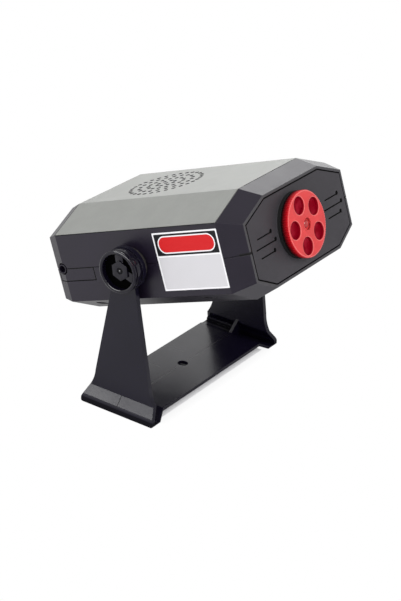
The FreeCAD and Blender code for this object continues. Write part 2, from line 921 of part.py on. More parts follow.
def stand_outline():
    """The stand from the side: a foot, a flared taper and a round eye."""
    def at(y, z):
        return V(-foot_outer_x, y, z)
    low, high = arm_half_width_low, arm_half_width_high
    flare_y = low + (arm_flare_half_width - low) * arm_flare_share
    flare_z = (foot_top_z + arm_low_z) / 2
    bulge = 1 - math.sqrt(1 / 2)
    edges = []
    for side in (1, -1):
        root = at(side * arm_flare_half_width, foot_top_z)
        knee = at(side * foot_knee_half_length, foot_end_z)
        shoulder = at(side * low, arm_low_z)
        corner_in = at(side * (foot_half_length - foot_end_round), 0)
        corner_mid = at(side * (foot_half_length - foot_end_round * bulge), foot_end_round * bulge)
        corner_out = at(side * foot_half_length, foot_end_round)
        edges += [
            Part.LineSegment(at(0, 0), corner_in),
            Part.Arc(corner_in, corner_mid, corner_out),
            Part.LineSegment(corner_out, knee),
            Part.LineSegment(knee, root),
            Part.Arc(root, at(side * flare_y, flare_z), shoulder),
            Part.LineSegment(shoulder, at(side * high, arm_high_z)),
            Part.LineSegment(at(side * high, arm_high_z), at(0, arm_high_z)),
        ]
    outline = Part.Wire(Part.__sortEdges__([edge.toShape() for edge in edges]))
    width = X_AXIS * 2 * foot_outer_x
    eye = rod(eye_radius, at(0, pivot_height), X_AXIS, 2 * foot_outer_x)
    return Part.Face(outline).extrude(width).fuse(eye)


def stand_plan():
    """The stand from above: the plate widens to the feet beyond its ends."""
    right = [
        (plate_edge_x, -base_half_depth),
        (arm_inner_x, -foot_half_length),
        (foot_outer_x, -foot_half_length),
        (foot_outer_x, foot_half_length),
        (arm_inner_x, foot_half_length),
        (plate_edge_x, base_half_depth),
    ]
    return extruded([V(x, y, 0) for x, y in mirrored(right)], Z_AXIS * (pivot_height + eye_radius))


def gusset():
    """A rib across the right trough, from the plate to the arm."""
    arm_middle_x = (arm_inner_x + arm_outer_x) / 2
    points = [
        (plate_edge_x, base_top_z),
        (arm_inner_x, base_top_z + gusset_rise),
        (arm_middle_x, base_top_z + gusset_rise),
        (arm_middle_x, foot_top_z),
        (foot_inner_x, foot_knee_z),
        (foot_inner_x, trough_floor),
        (arm_inner_x, trough_floor),
    ]
    return extruded([V(x, -gusset_thickness / 2, z) for x, z in points], Y_AXIS * gusset_thickness)


def stand_sheet():
    """The whole stand without its ribs: one moulding, kept as a base and two arms that meet flush."""
    length = 2 * foot_outer_x
    pivot = bolt_hole(V(-foot_outer_x, 0, pivot_height), X_AXIS, length)
    hole = rod(base_hole_radius, ORIGIN, Z_AXIS, base_top_z + overrun)
    return stand_section().common(stand_outline()).common(stand_plan()).cut([pivot, hole])


def stand_slice(x):
    """The stand between a (low, high) pair in x."""
    reach = (-foot_half_length - overrun, foot_half_length + overrun)
    return stand_sheet().common(block(x, reach, (-overrun, pivot_height + eye_radius + overrun)))


def plate_ribs():
    """Ribs under the plate: one along it, broken at the hole, and two across it."""
    z = (plate_rib_foot, base_top_z - base_thickness / 2)
    half = plate_rib_thickness / 2
    reach = base_half_depth - cross_rib_setback
    spans = [(-plate_edge_x, -plate_rib_gap), (plate_rib_gap, plate_edge_x)]
    ribs = [block(span, (-half, half), z) for span in spans]
    return ribs + [centred(x, half, (-reach, reach), z) for x in (-cross_rib_x, cross_rib_x)]


def stand_base():
    return stand_slice((-arm_inner_x, arm_inner_x)).fuse(plate_ribs())


def stand_arm():
    return stand_slice((arm_inner_x, foot_outer_x + overrun)).fuse(gusset())


def lifted(shape):
    """A piece of the level pivot, raised to its height on the stand."""
    shape.translate(Z_AXIS * pivot_height)
    return shape


def on_head(shape):
    """A piece of the level head, tilted nose up and raised to its height."""
    shape.rotate(ORIGIN, X_AXIS, -tilt_angle)
    return lifted(shape)


def assembly():
    """Every piece by name, at rest, with the pivot over Y = 0."""
    head_makers = [
        upper_shell, lower_shell, top_cover, front_panel, jack_plate, input_jack,
        pattern_wheel, wheel_gratings, wheel_screw, wheel_washer,
        laser_barrel, laser_lens, optics_bracket, disc_motor, motor_shaft, disc_hub, effect_disc,
        speaker_frame, speaker_cone, speaker_magnet, main_board, board_chip, board_capacitors,
        switch_body, switch_slider, battery_door, battery_cells, battery_contacts, case_screws,
    ]
    pieces = {maker.__name__: on_head(maker()) for maker in head_makers}
    for maker in (pivot_bolt, clamp_knob, knob_insert):
        pieces[maker.__name__ + "_left"] = on_head(maker())
        pieces[maker.__name__ + "_right"] = on_head(opposite(maker()))
    pieces["friction_washer_left"] = lifted(friction_washer())
    pieces["friction_washer_right"] = lifted(opposite(friction_washer()))
    pieces["stand_base"] = stand_base()
    pieces["stand_arm_right"] = stand_arm()
    pieces["stand_arm_left"] = opposite(stand_arm())
    return pieces


def main():
    """Centre the whole over its box, with the feet on Z = 0, and write one file for each piece."""
    os.makedirs("parts", exist_ok=True)
    pieces = assembly()
    box = FreeCAD.BoundBox()
    for shape in pieces.values():
        box.add(shape.BoundBox)
    shift = -(box.YMin + box.YMax) / 2
    for name, shape in pieces.items():
        shape.translate(Y_AXIS * shift)
        shape.exportStep("parts/" + name + ".step")
    print("pieces", len(pieces), "pivot y", round(shift, 3), "box", box)


main()
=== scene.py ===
"""Dresses the laser show projector: finishes, smooth wheel and knobs, grille rims, label and studio."""

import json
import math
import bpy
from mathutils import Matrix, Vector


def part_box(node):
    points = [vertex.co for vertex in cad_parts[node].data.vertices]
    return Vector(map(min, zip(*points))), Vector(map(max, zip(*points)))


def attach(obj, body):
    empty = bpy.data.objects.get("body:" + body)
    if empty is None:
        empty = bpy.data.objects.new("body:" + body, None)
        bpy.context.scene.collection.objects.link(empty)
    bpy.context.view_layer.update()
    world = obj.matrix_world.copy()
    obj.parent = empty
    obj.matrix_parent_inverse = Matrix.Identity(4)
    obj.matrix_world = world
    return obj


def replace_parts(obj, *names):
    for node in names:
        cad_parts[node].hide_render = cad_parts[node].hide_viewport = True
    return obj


bl_info = {
    "name": "Laser show projector",
    "version": (1, 0, 0),
    "blender": (4, 5, 0),
    "location": "3D View > Sidebar > Projector",
    "description": "Dresses the packed projector with its finishes, trim and studio",
    "category": "Object",
}

import bmesh
import bpy
from bpy.props import FloatProperty, FloatVectorProperty, PointerProperty
from mathutils import Matrix, Vector

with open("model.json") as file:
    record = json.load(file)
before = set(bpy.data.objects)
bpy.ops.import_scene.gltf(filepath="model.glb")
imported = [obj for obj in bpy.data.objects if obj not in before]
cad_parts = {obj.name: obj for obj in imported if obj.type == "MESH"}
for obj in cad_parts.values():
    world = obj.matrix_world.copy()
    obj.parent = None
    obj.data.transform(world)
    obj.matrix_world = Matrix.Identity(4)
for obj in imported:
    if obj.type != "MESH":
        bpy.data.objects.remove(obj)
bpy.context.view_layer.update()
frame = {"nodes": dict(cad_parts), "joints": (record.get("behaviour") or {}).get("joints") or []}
NODES = frame["nodes"]
JOINTS = {joint["name"]: joint for joint in frame["joints"]}
MM = 0.001

# Places taken from the frame
PIVOT = Vector(JOINTS["head_tilt"]["pos_m"])
HEAD_TILT = math.asin(JOINTS["wheel_turn"]["axis"][2])
WHEEL_CENTRE = Vector(JOINTS["wheel_turn"]["pos_m"])
HEAD_PLACE = Matrix.Translation(PIVOT) @ Matrix.Rotation(-HEAD_TILT, 4, "X")
WHEEL_PLACE = Matrix.Translation(WHEEL_CENTRE) @ Matrix.Rotation(math.radians(90) - HEAD_TILT, 4, "X")

# Where the head's finishes change, from the tilt pivot of the level head
# The lip and rear bevel places bound a painted highlight; the notch, jack, panel and collar places bound
# painted shade.
FRONT_LIP = (-66.6 * MM, -66.8 * MM)
REAR_BEVEL = (44.2 * MM, 44.6 * MM)
REAR_FACE = 49.9 * MM
NOTCH_SIDE, NOTCH_FRONT = 40.0 * MM, -62.0 * MM
JACK_SIDE = -48.0 * MM
PANEL_SUNK = (-66.88 * MM, -66.8 * MM)
PANEL_COLLAR = (-66.95 * MM, -67.1 * MM)
GRILLE_HALF, GRILLE_SKIN = 21.0 * MM, 26.74 * MM

# Where the wheel's finish changes, from its middle
# The rim and window places bound painted shade; FACE_BACK bounds the painted highlights on the edges.
RIM_FROM = 15.85 * MM
RIM_START, RIM_SHADE_FADE = (-1.9 * MM, -1.5 * MM), (-1.6 * MM, 1.45 * MM)
WINDOWS_FROM, WINDOWS_TO = 4.5 * MM, 15.6 * MM
WINDOW_START = (-1.75 * MM, -1.55 * MM)
FACE_BACK = -1.7 * MM

# Where the stand's finish changes, from the floor below the pivot
PLATE_FACE, PLATE_HALF = (4.6 * MM, 5.0 * MM), 44.8 * MM
HOLE_HALF = 4.6 * MM
RIB_SIDE, RIB_REAR = 11.0 * MM, 7.0 * MM
# FOOT_LIP bounds the painted shade on the feet's lower rims; the gusset places bound a painted highlight.
FOOT_SIDE, FOOT_BAND, FOOT_LIP = 53.8 * MM, (3.0 * MM, 9.0 * MM), 2.9 * MM
GUSSET_ROOT = (45.0 * MM, PIVOT.y, 4.8 * MM)
GUSSET_RISE, GUSSET_HALF, GUSSET_SPAN = 5.6 / 6.7, 0.85 * MM, (0.3 * MM, 7.0 * MM)

# Shares of the label's heading, and the edges of its print
HEADING_SHARE = 0.37
BAR_WIDE, BAR_TALL, BAR_CORNER, RED_CORNER = 0.92, 0.82, 0.4, 0.34
BAR_RIM, FIELD_CORNER, PRINT_SOFT = 1.2 * MM, 0.5 * MM, 0.06 * MM

# How turned meshes are closed and creased
WELD = 0.0001 * MM
SHARP = math.radians(40)


# Node sockets as values
class Field:
    """A node socket that takes part in plain arithmetic."""

    def __init__(self, graph, socket):
        self.graph = graph
        self.socket = socket

    def _math(self, operation, first, second):
        return self.graph.math(operation, first, second)

    def __add__(self, other):
        return self._math("ADD", self, other)

    def __radd__(self, other):
        return self._math("ADD", other, self)

    def __sub__(self, other):
        return self._math("SUBTRACT", self, other)

    def __rsub__(self, other):
        return self._math("SUBTRACT", other, self)

    def __mul__(self, other):
        return self._math("MULTIPLY", self, other)

    def __rmul__(self, other):
        return self._math("MULTIPLY", other, self)

    def __lt__(self, other):
        return self._math("LESS_THAN", self, other)

    def __gt__(self, other):
        return self._math("GREATER_THAN", self, other)

    def __abs__(self):
        return self.graph.math("ABSOLUTE", self)

    def __pow__(self, other):
        return self._math("POWER", self, other)

    def most(self, other):
        return self._math("MAXIMUM", self, other)

    def line(self, half, soft):
        """One within a half width of zero, fading over a soft edge."""
        return self.graph.spread(abs(self), half + soft, half)


class Graph:
    """A node tree under construction."""

    def __init__(self, tree):
        self.tree = tree

    def node(self, kind, settings=None, inputs=None):
        """Adds a node: its settings first, then the values or links of its sockets."""
        made = self.tree.nodes.new(kind)
        for name, value in (settings or {}).items():
            setattr(made, name, value)
        for key, value in (inputs or {}).items():
            if isinstance(value, Field):
                self.tree.links.new(value.socket, made.inputs[key])
            else:
                made.inputs[key].default_value = value
        return made

    def field(self, kind, output, settings=None, inputs=None):
        return Field(self, self.node(kind, settings, inputs).outputs[output])

    def math(self, operation, first, second=0.0):
        return self.field("ShaderNodeMath", 0, {"operation": operation}, {0: first, 1: second})


class Finish(Graph):
    """The shader tree of a material or the world."""

    def __init__(self, holder):
        holder.use_nodes = True
        super().__init__(holder.node_tree)
        self.holder = holder
        self.tree.nodes.clear()

    def place(self, centre=(0.0, 0.0, 0.0), turn=(0.0, 0.0, 0.0)):
        """Object coordinates, seen from a centre and turned."""
        spot = self.field("ShaderNodeTexCoord", "Object")
        moved = self.field("ShaderNodeVectorMath", 0, {"operation": "SUBTRACT"}, {0: spot, 1: centre})
        if not any(turn):
            return moved
        return self.field("ShaderNodeMapping", 0, None, {"Vector": moved, "Rotation": turn})

    def head_place(self, centre=PIVOT):
        """Object coordinates in the level head, from its tilt pivot or another centre."""
        return self.place(centre, (HEAD_TILT, 0.0, 0.0))

    def parts(self, vector):
        split = self.node("ShaderNodeSeparateXYZ", None, {0: vector})
        return [Field(self, socket) for socket in split.outputs]

    def rays(self, *kinds):
        """One for rays of each kind, zero for others."""
        path = self.node("ShaderNodeLightPath")
        return [Field(self, path.outputs["Is " + kind + " Ray"]) for kind in kinds]

    def noise(self, place, scale, detail=2.0, roughness=0.5):
        inputs = {"Vector": place, "Scale": scale, "Detail": detail, "Roughness": roughness}
        return self.field("ShaderNodeTexNoise", 0, None, inputs)

    def spread(self, value, low, high, to_low=0.0, to_high=1.0):
        """Carries a value from one range to another, held at the ends."""
        inputs = {"Value": value, "From Min": low, "From Max": high, "To Min": to_low, "To Max": to_high}
        return self.field("ShaderNodeMapRange", 0, {"clamp": True}, inputs)

    def mix(self, factor, first, second):
        settings = {"data_type": "RGBA", "clamp_factor": True}
        return self.field("ShaderNodeMix", 2, settings, {0: factor, 6: first, 7: second})

    def edge(self, radius):
        return self.field("ShaderNodeBevel", 0, {"samples": 6}, {"Radius": radius})

    def bump(self, height, distance, strength=1.0, normal=None):
        inputs = {"Height": height, "Distance": distance, "Strength": strength}
        if normal is not None:
            inputs["Normal"] = normal
        return self.field("ShaderNodeBump", 0, None, inputs)

    def surface(self, painted_shade_mask=None, **sockets):
        """Ends a material in one Principled shader, which gives way to dull black, as painted shade, where
        the painted shade mask is one.
        """
        inputs = {name.replace("_", " "): value for name, value in sockets.items()}
        if "IOR Level" in inputs:
            inputs["Specular IOR Level"] = inputs.pop("IOR Level")
        shader = self.field("ShaderNodeBsdfPrincipled", 0, None, inputs)
        if painted_shade_mask is not None:
            black = self.field("ShaderNodeBsdfDiffuse", 0, None, {"Color": shade(colours().painted_shade)})
            shader = self.field("ShaderNodeMixShader", 0, None, {0: painted_shade_mask, 1: shader, 2: black})
        self.node("ShaderNodeOutputMaterial", None, {"Surface": shader})
        return self.holder


def new_finish(name):
    return Finish(bpy.data.materials.new(name))


def shade(colour, factor=1.0):
    """A colour made lighter or darker, with full alpha."""
    return (*(min(1.0, channel * factor) for channel in colour[:3]), 1.0)


# Finishes
def moulded(
    name, colour, roughness=0.42, grain=0.012, edge=0.35, ior_level=0.5, marks=None, pale=None, painted_shade_mask=None
):
    """Moulded plastic with a fine grain and rounded edges. Marks darken it for real marks and as painted
    shade in grooves. Pale masks paint highlights on lips and edges. A shade mask puts dull black as painted
    shade in hollows.
    """
    finish = new_finish(name)
    place = finish.place()
    cloud = finish.noise(place, 45.0, detail=4.0, roughness=0.6)
    pores = finish.noise(place, 2600.0)
    tone = finish.mix(finish.spread(cloud, 0.3, 0.7), shade(colour, 0.85), shade(colour, 1.18))
    tone = finish.mix(finish.spread(pores, 0.35, 0.7, 0.0, 0.25), tone, shade(colour, 1.5))
    dull = finish.spread(cloud, 0.25, 0.75, roughness - 0.04, roughness + 0.04)
    height = pores
    # Painted highlight: a pale mask lightens lips and edges where they catch the light.
    if pale is not None:
        tone = finish.mix(pale(finish), tone, shade(colours().lip))
    # Marks darken the tone both for real marks and as painted shade in grooves, slits and gaps.
    if marks is not None:
        mark_and_shade = marks(finish)
        tone = finish.mix(mark_and_shade, tone, shade(colour, 0.06))
        dull = dull + mark_and_shade * 0.3
        height = pores - mark_and_shade * 4.0
    normal = finish.bump(height, grain * MM, 1.0, finish.edge(edge * MM))
    painted_shade = painted_shade_mask(finish) if painted_shade_mask is not None else None
    return finish.surface(painted_shade, Base_Color=tone, Roughness=dull, Normal=normal, IOR_Level=ior_level)


def shell_lip_highlight(finish):
    """The front lip and the rear bevel of the housing, duller and paler than its sides: the paler tone is a
    painted highlight for the light they catch.
    """
    _, y, _ = finish.parts(finish.head_place())
    bevel = finish.spread(y, *REAR_BEVEL) * (y < REAR_FACE) * 0.7
    return finish.spread(y, *FRONT_LIP).most(bevel)


def head_box(name):
    """The corners of a CAD node's box in the level head, from its tilt pivot."""
    into_head = HEAD_PLACE.inverted()
    points = [into_head @ corner.co for corner in NODES[name].data.vertices]
    low, high = (Vector([pick(axis) for axis in zip(*points)]) for pick in (min, max))
    return low, high


def shell_painted_shade(finish):
    """The notches where the parting line crosses the front lip, and the groove round the jack plate,
    painted dark as the shade in them.
    """
    x, y, z = finish.parts(finish.head_place())
    notch = z.line(half=0.5 * MM, soft=0.2 * MM) * (y < NOTCH_FRONT) * (abs(x) > NOTCH_SIDE)
    low, high = head_box("jack_plate")
    middle, half = (low + high) / 2, (high - low) / 2
    beside = abs(y - middle.y) - half.y
    above = abs(z - middle.z) - half.z
    groove = beside.most(above).line(half=0.16 * MM, soft=0.12 * MM) * (x < JACK_SIDE)
    return notch.most(groove)


def knob_hollow_shade(finish):
    """The recess of a clamp knob, below its boss and webs, where dull black stands as painted shade."""
    seat = -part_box("clamp_knob_left")[1][0]
    into_wall, below_webs = 0.3 * MM, 0.15 * MM
    x, y, z = finish.parts(finish.place(PIVOT))
    radius = (y * y + z * z) ** 0.5
    within = radius < sizes().knob_recess + into_wall
    return within * (abs(x) < seat + sizes().web_height - below_webs)


def panel_painted_shade(finish):
    """The sunk slits and groove of the front panel, and the collar behind the wheel, painted near black as
    the shade in and around them.
    """
    _, y, _ = finish.parts(finish.head_place())
    return finish.spread(y, *PANEL_SUNK).most(finish.spread(y, *PANEL_COLLAR))


def stand_marks(finish):
    """Faint sink lines over the plate's ribs and the knit line down each foot."""
    x, y, z = finish.parts(finish.place((0.0, PIVOT.y, 0.0)))
    on_plate = (z > PLATE_FACE[0]) * (z < PLATE_FACE[1]) * (abs(x) < PLATE_HALF)
    along = y.line(half=0.12 * MM, soft=0.2 * MM) * (abs(x) > HOLE_HALF)
    across = (abs(x) - RIB_SIDE).line(half=0.1 * MM, soft=0.2 * MM) * (y > RIB_REAR)
    on_foot = (abs(x) > FOOT_SIDE) * (z > FOOT_BAND[0]) * (z < FOOT_BAND[1])
    knit = y.line(half=0.1 * MM, soft=0.2 * MM)
    return (on_plate * along.most(across) * 0.6).most(on_foot * knit * 0.8)


def foot_lip_shade(finish):
    """The lower rim of each foot, dull black as painted shade where it meets the floor."""
    x, _, z = finish.parts(finish.place())
    return (abs(x) > FOOT_SIDE) * (z < FOOT_LIP) * 0.6


def gusset_edge_highlight(finish):
    """A painted highlight along the upper edge of the rib between the plate and the right arm."""
    x, y, z = finish.parts(finish.place(GUSSET_ROOT))
    slope = (z - x * GUSSET_RISE + 0.1 * MM).line(half=0.2 * MM, soft=0.1 * MM)
    return slope * (abs(y) < GUSSET_HALF) * (x > GUSSET_SPAN[0]) * (x < GUSSET_SPAN[1])


def silver_paint(name, colour):
    """Sprayed silver: fine flakes over a grey ground, a little orange peel, bare black inside the holes."""
    finish = new_finish(name)
    place = finish.place()
    x, _, z = finish.parts(finish.head_place())
    bare = (abs(x) < GRILLE_HALF) * (z < GRILLE_SKIN)
    flakes = finish.noise(place, 5200.0, roughness=0.6)
    cloud = finish.noise(place, 70.0, detail=3.0, roughness=0.6)
    peel = finish.noise(place, 900.0, detail=1.0)
    tone = finish.mix(finish.spread(flakes, 0.3, 0.7), shade(colour, 0.86), shade(colour, 1.12))
    tone = finish.mix(finish.spread(cloud, 0.3, 0.7, 0.0, 0.6), tone, shade(colour, 0.84))
    tone = finish.mix(bare, tone, shade(colours().bare))
    dull = finish.spread(flakes, 0.3, 0.7, 0.4, 0.54)
    normal = finish.bump(peel, 0.01 * MM, 1.0, finish.edge(0.3 * MM))
    return finish.surface(Base_Color=tone, Metallic=(1.0 - bare) * 0.15, Roughness=dull, Normal=normal)


def wheel_edge_highlights(finish, x, z, radius):
    """Painted highlights along the edges round the wheel's windows and its face."""
    values = sizes()
    reach = values.window_reach
    half_step = math.pi / PROJECTOR_OT_wheel.windows
    fold = finish.math("PINGPONG", finish.math("ARCTAN2", z, x) - math.pi, half_step)
    away = (radius * radius - radius * finish.math("COSINE", fold) * (2 * reach) + reach**2) ** 0.5
    lip = (away - values.window_radius - 0.2 * MM).line(half=0.12 * MM, soft=0.12 * MM)
    brim_highlight = (radius - values.wheel_radius + 0.5 * MM).line(half=0.12 * MM, soft=0.15 * MM)
    return lip.most(brim_highlight) * 0.5


def red_plastic(name, colour):
    """Coloured plastic with a satin face, a deep ribbed rim and deep windows. Painted shade darkens the rim
    towards its back and darkens the windows' walls, and painted highlights lighten the edges.
    """
    finish = new_finish(name)
    tones = colours()
    place = finish.head_place(WHEEL_CENTRE)
    x, y, z = finish.parts(place)
    radius = (x * x + z * z) ** 0.5
    cloud = finish.noise(place, 160.0, detail=3.0)
    pores = finish.noise(place, 3600.0)
    tone = finish.mix(finish.spread(cloud, 0.3, 0.7), shade(colour, 0.92), shade(colour, 1.06))
    # Painted shade: the rim fades from red at the face to near black at the back, and the window walls turn
    # deep red.
    rim = (radius > RIM_FROM) * finish.spread(y, *RIM_START)
    rim_shade_tone = finish.mix(finish.spread(y, *RIM_SHADE_FADE), shade(tones.rim_front), shade(tones.rim_back_shade))
    inside = (radius < WINDOWS_TO) * (radius > WINDOWS_FROM) * finish.spread(y, *WINDOW_START)
    # Painted highlight: light red along the wheel's edges, on the face only.
    edges = wheel_edge_highlights(finish, x, z, radius) * (y < FACE_BACK)
    tone = finish.mix(rim, tone, rim_shade_tone)
    tone = finish.mix(inside, tone, shade(tones.window))
    tone = finish.mix(edges, tone, shade(tones.wheel_edge))
    normal = finish.bump(pores, 0.006 * MM, 1.0, finish.edge(0.25 * MM))
    dull = finish.spread(cloud, 0.3, 0.7, 0.28, 0.36)
    return finish.surface(Base_Color=tone, Roughness=dull, Normal=normal, IOR_Level=0.25)


def grating_film(name, colour):
    """Dark film with the fine ruled lines of a grating."""
    finish = new_finish(name)
    place = finish.head_place(WHEEL_CENTRE)
    x, _, z = finish.parts(place)
    lines = finish.math("SINE", (x + z) * 9000.0)
    cloud = finish.noise(place, 210.0, detail=1.0)
    tone = finish.mix(finish.spread(lines, -1.0, 1.0), shade(colour, 0.7), shade(colour, 1.1))
    tone = finish.mix(finish.spread(cloud, 0.45, 0.66, 0.0, 0.7), tone, shade(colours().film_cloud))
    normal = finish.bump(lines, 0.004 * MM)
    dull = finish.spread(cloud, 0.3, 0.7, 0.5, 0.6)
    return finish.surface(Base_Color=tone, Roughness=dull, Normal=normal, IOR_Level=0.02)


def metal(name, colour, roughness=0.28):
    """Plated metal with fine turning marks."""
    finish = new_finish(name)
    place = finish.place()
    marks = finish.noise(place, 3000.0, detail=3.0, roughness=0.7)
    cloud = finish.noise(place, 200.0)
    tone = finish.mix(finish.spread(cloud, 0.3, 0.7), shade(colour, 0.85), shade(colour, 1.05))
    normal = finish.bump(marks, 0.004 * MM, 1.0, finish.edge(0.15 * MM))
    dull = finish.spread(marks, 0.3, 0.7, roughness - 0.07, roughness + 0.08)
    return finish.surface(Base_Color=tone, Metallic=1.0, Roughness=dull, Normal=normal)


def circuit_board(name, colour):
    """Green solder mask over copper tracks."""
    finish = new_finish(name)
    place = finish.head_place()
    rows = {"Vector": place, "Scale": 240.0, "Mortar Size": 0.03, "Brick Width": 1.3, "Row Height": 0.5}
    tracks = finish.field("ShaderNodeTexBrick", 1, {"offset": 0.4, "squash": 1.0}, rows)
    pores = finish.noise(place, 1800.0)
    tone = finish.mix(tracks, shade(colour, 0.8), shade(colour, 1.9))
    dull = finish.spread(pores, 0.3, 0.7, 0.28, 0.4)
    return finish.surface(Base_Color=tone, Roughness=dull, Normal=finish.bump(tracks, 0.03 * MM, 0.6))


def paper(name, colour):
    """Pressed paper with loose fibres."""
    finish = new_finish(name)
    fibres = finish.noise(finish.place(), 1300.0, detail=6.0, roughness=0.75)
    tone = finish.mix(finish.spread(fibres, 0.3, 0.7), shade(colour, 0.7), shade(colour, 1.4))
    return finish.surface(Base_Color=tone, Roughness=0.85, Normal=finish.bump(fibres, 0.05 * MM))


def label_print(name):
    """Blank printed sticker: pale border and field, dark heading with a plain red bar."""
    finish = new_finish(name)
    values, tones = sizes(), colours()
    spot = finish.field("ShaderNodeUVMap", 0, {"uv_map": "label"})
    u, v, _ = finish.parts(spot)
    across = (u - 0.5) * values.label_width
    upward = (v - 0.5) * values.label_height

    def bar(middle, wide, tall, corner):
        """One inside a rounded bar, zero outside, with a thin soft edge."""
        side = (abs(across) - (wide / 2 - corner)).most(0.0)
        rise = (abs(upward - middle) - (tall / 2 - corner)).most(0.0)
        reach = (side * side + rise * rise) ** 0.5
        return finish.spread(reach, corner + PRINT_SOFT, corner - PRINT_SOFT)

    top, border = values.label_height / 2, values.label_border
    wide = values.label_width - 2 * border
    heading = HEADING_SHARE * values.label_height
    heading_middle = top - border - heading / 2
    field = values.label_height - 3 * border - heading
    bar_wide, bar_tall = BAR_WIDE * wide, BAR_TALL * heading
    layers = (
        (bar(border + field / 2 - top, wide, field, FIELD_CORNER), shade(tones.label_grey)),
        (bar(heading_middle, wide, heading, FIELD_CORNER), shade(tones.label_dark)),
        (bar(heading_middle, bar_wide, bar_tall, BAR_CORNER * heading), shade(tones.label_white, 0.98)),
        (
            bar(heading_middle, bar_wide - BAR_RIM, bar_tall - BAR_RIM, RED_CORNER * heading),
            shade(tones.label_red),
        ),
    )
    pulp = finish.noise(spot, 90.0, detail=4.0, roughness=0.6)
    white = tones.label_white
    tone = finish.mix(finish.spread(pulp, 0.3, 0.7), shade(white, 0.97), shade(white))
    for inside, print_tone in layers:
        tone = finish.mix(inside, tone, print_tone)
    dull = finish.spread(pulp, 0.3, 0.7, 0.34, 0.44)
    normal = finish.bump(pulp, 0.004 * MM)
    return finish.surface(Base_Color=tone, Roughness=dull, Normal=normal, IOR_Level=0.25)


def dress(material, *names):
    """Puts a finish on CAD nodes."""
    for name in names:
        mesh = NODES[name].data
        mesh.materials.clear()
        mesh.materials.append(material)


def add_piece(name, mesh, material, body):
    """Links a finished mesh as a piece that rides on a body."""
    mesh.materials.clear()
    mesh.materials.append(material)
    piece = bpy.data.objects.new(name, mesh)
    bpy.context.scene.collection.objects.link(piece)
    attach(piece, body)
    return piece


# Turned and cut shapes
def eased(points, reaches, steps=4):
    """A closed outline whose corners are rounded off by the given reaches."""
    outline = []
    for place, (point, reach) in enumerate(zip(points, reaches)):
        corner = Vector(point)
        if not reach:
            outline.append(corner)
            continue
        start = corner + (Vector(points[place - 1]) - corner).normalized() * reach
        end = corner + (Vector(points[(place + 1) % len(points)]) - corner).normalized() * reach
        for step in range(steps + 1):
            share = step / steps
            outline.append(start.lerp(corner, share).lerp(corner.lerp(end, share), share))
    return outline


def turned(shape, profile, segments, start=0.0, reach=lambda radius, angle: radius):
    """Turns a closed profile of (radius, height) pairs about the height axis."""
    rings = []
    for step in range(segments):
        angle = 2 * math.pi * step / segments
        ring = []
        for radius, height in profile:
            far = reach(radius, angle)
            spot = (far * math.cos(angle + start), far * math.sin(angle + start), height)
            ring.append(shape.verts.new(spot))
        rings.append(ring)
    for step, ring in enumerate(rings):
        after = rings[(step + 1) % segments]
        for low in range(len(profile)):
            high = (low + 1) % len(profile)
            shape.faces.new((ring[low], after[low], after[high], ring[high]))


def domed(radius, height, base, steps=8):
    """The profile of a dome, from its foot to its top on the axis."""
    turns = [math.pi / 2 * step / steps for step in range(steps)]
    rise = [(radius * math.cos(turn), base + height * math.sin(turn)) for turn in turns]
    return [*rise, (0.0, base + height)]


def slab(shape, low, high, turn, edge):
    """A box between two corners, turned about the height axis, with its edges eased."""
    size = Vector(high) - Vector(low)
    place = Matrix.Rotation(turn, 4, "Z") @ Matrix.Translation((Vector(low) + Vector(high)) / 2)
    made = bmesh.ops.create_cube(shape, size=1.0, matrix=place @ Matrix.Diagonal((*size, 1.0)))
    edges = list({line for corner in made["verts"] for line in corner.link_edges})
    bmesh.ops.bevel(shape, geom=edges, offset=edge, segments=2, affect="EDGES", profile=0.5)


def finished(shape, name, place):
    """Closes a shape into a smooth mesh with crisp edges, set in its place."""
    bmesh.ops.remove_doubles(shape, verts=shape.verts, dist=WELD)
    bmesh.ops.recalc_face_normals(shape, faces=shape.faces)
    mesh = bpy.data.meshes.new(name)
    shape.to_mesh(mesh)
    shape.free()
    mesh.transform(place)
    mesh.shade_smooth()
    mesh.set_sharp_from_angle(angle=SHARP)
    return mesh


def evaluated(carrier):
    """The mesh that a linked object's curve or modifier makes."""
    return bpy.data.meshes.new_from_object(carrier.evaluated_get(bpy.context.evaluated_depsgraph_get()))


def outline_mesh(loops, depth, edge):
    """A flat cut shape with rounded edges, from an outer loop and the loops of its holes."""
    curve = bpy.data.curves.new("cut outline", "CURVE")
    curve.dimensions = "2D"
    curve.fill_mode = "BOTH"
    for points in loops:
        spline = curve.splines.new("POLY")
        spline.points.add(len(points) - 1)
        for point, (x, y) in zip(spline.points, points):
            point.co = (x, y, 0.0, 1.0)
        spline.use_cyclic_u = True
    curve.extrude = depth / 2 - edge
    curve.bevel_depth = edge
    curve.bevel_resolution = 2
    curve.offset = -edge
    carrier = bpy.data.objects.new("cut outline", curve)
    bpy.context.scene.collection.objects.link(carrier)
    mesh = evaluated(carrier)
    bpy.data.objects.remove(carrier)
    bpy.data.curves.remove(curve)
    return mesh


def circle(radius, count, centre=(0.0, 0.0), start=0.0):
    """Points spaced evenly on a circle."""
    turns = [start + 2 * math.pi * step / count for step in range(count)]
    return [(centre[0] + radius * math.cos(turn), centre[1] + radius * math.sin(turn)) for turn in turns]


# Settings
def a_length(name, description, default):
    return FloatProperty(name=name, description=description, default=default, unit="LENGTH", precision=5)


def an_angle(name, description, degrees):
    return FloatProperty(name=name, description=description, default=math.radians(degrees), subtype="ANGLE")


def a_power(name, description, watts):
    return FloatProperty(name=name, description=description, default=watts, unit="POWER")


def a_colour(name, description, *default):
    return FloatVectorProperty(
        name=name, description=description, default=default, size=3, min=0.0, max=1.0, subtype="COLOR"
    )


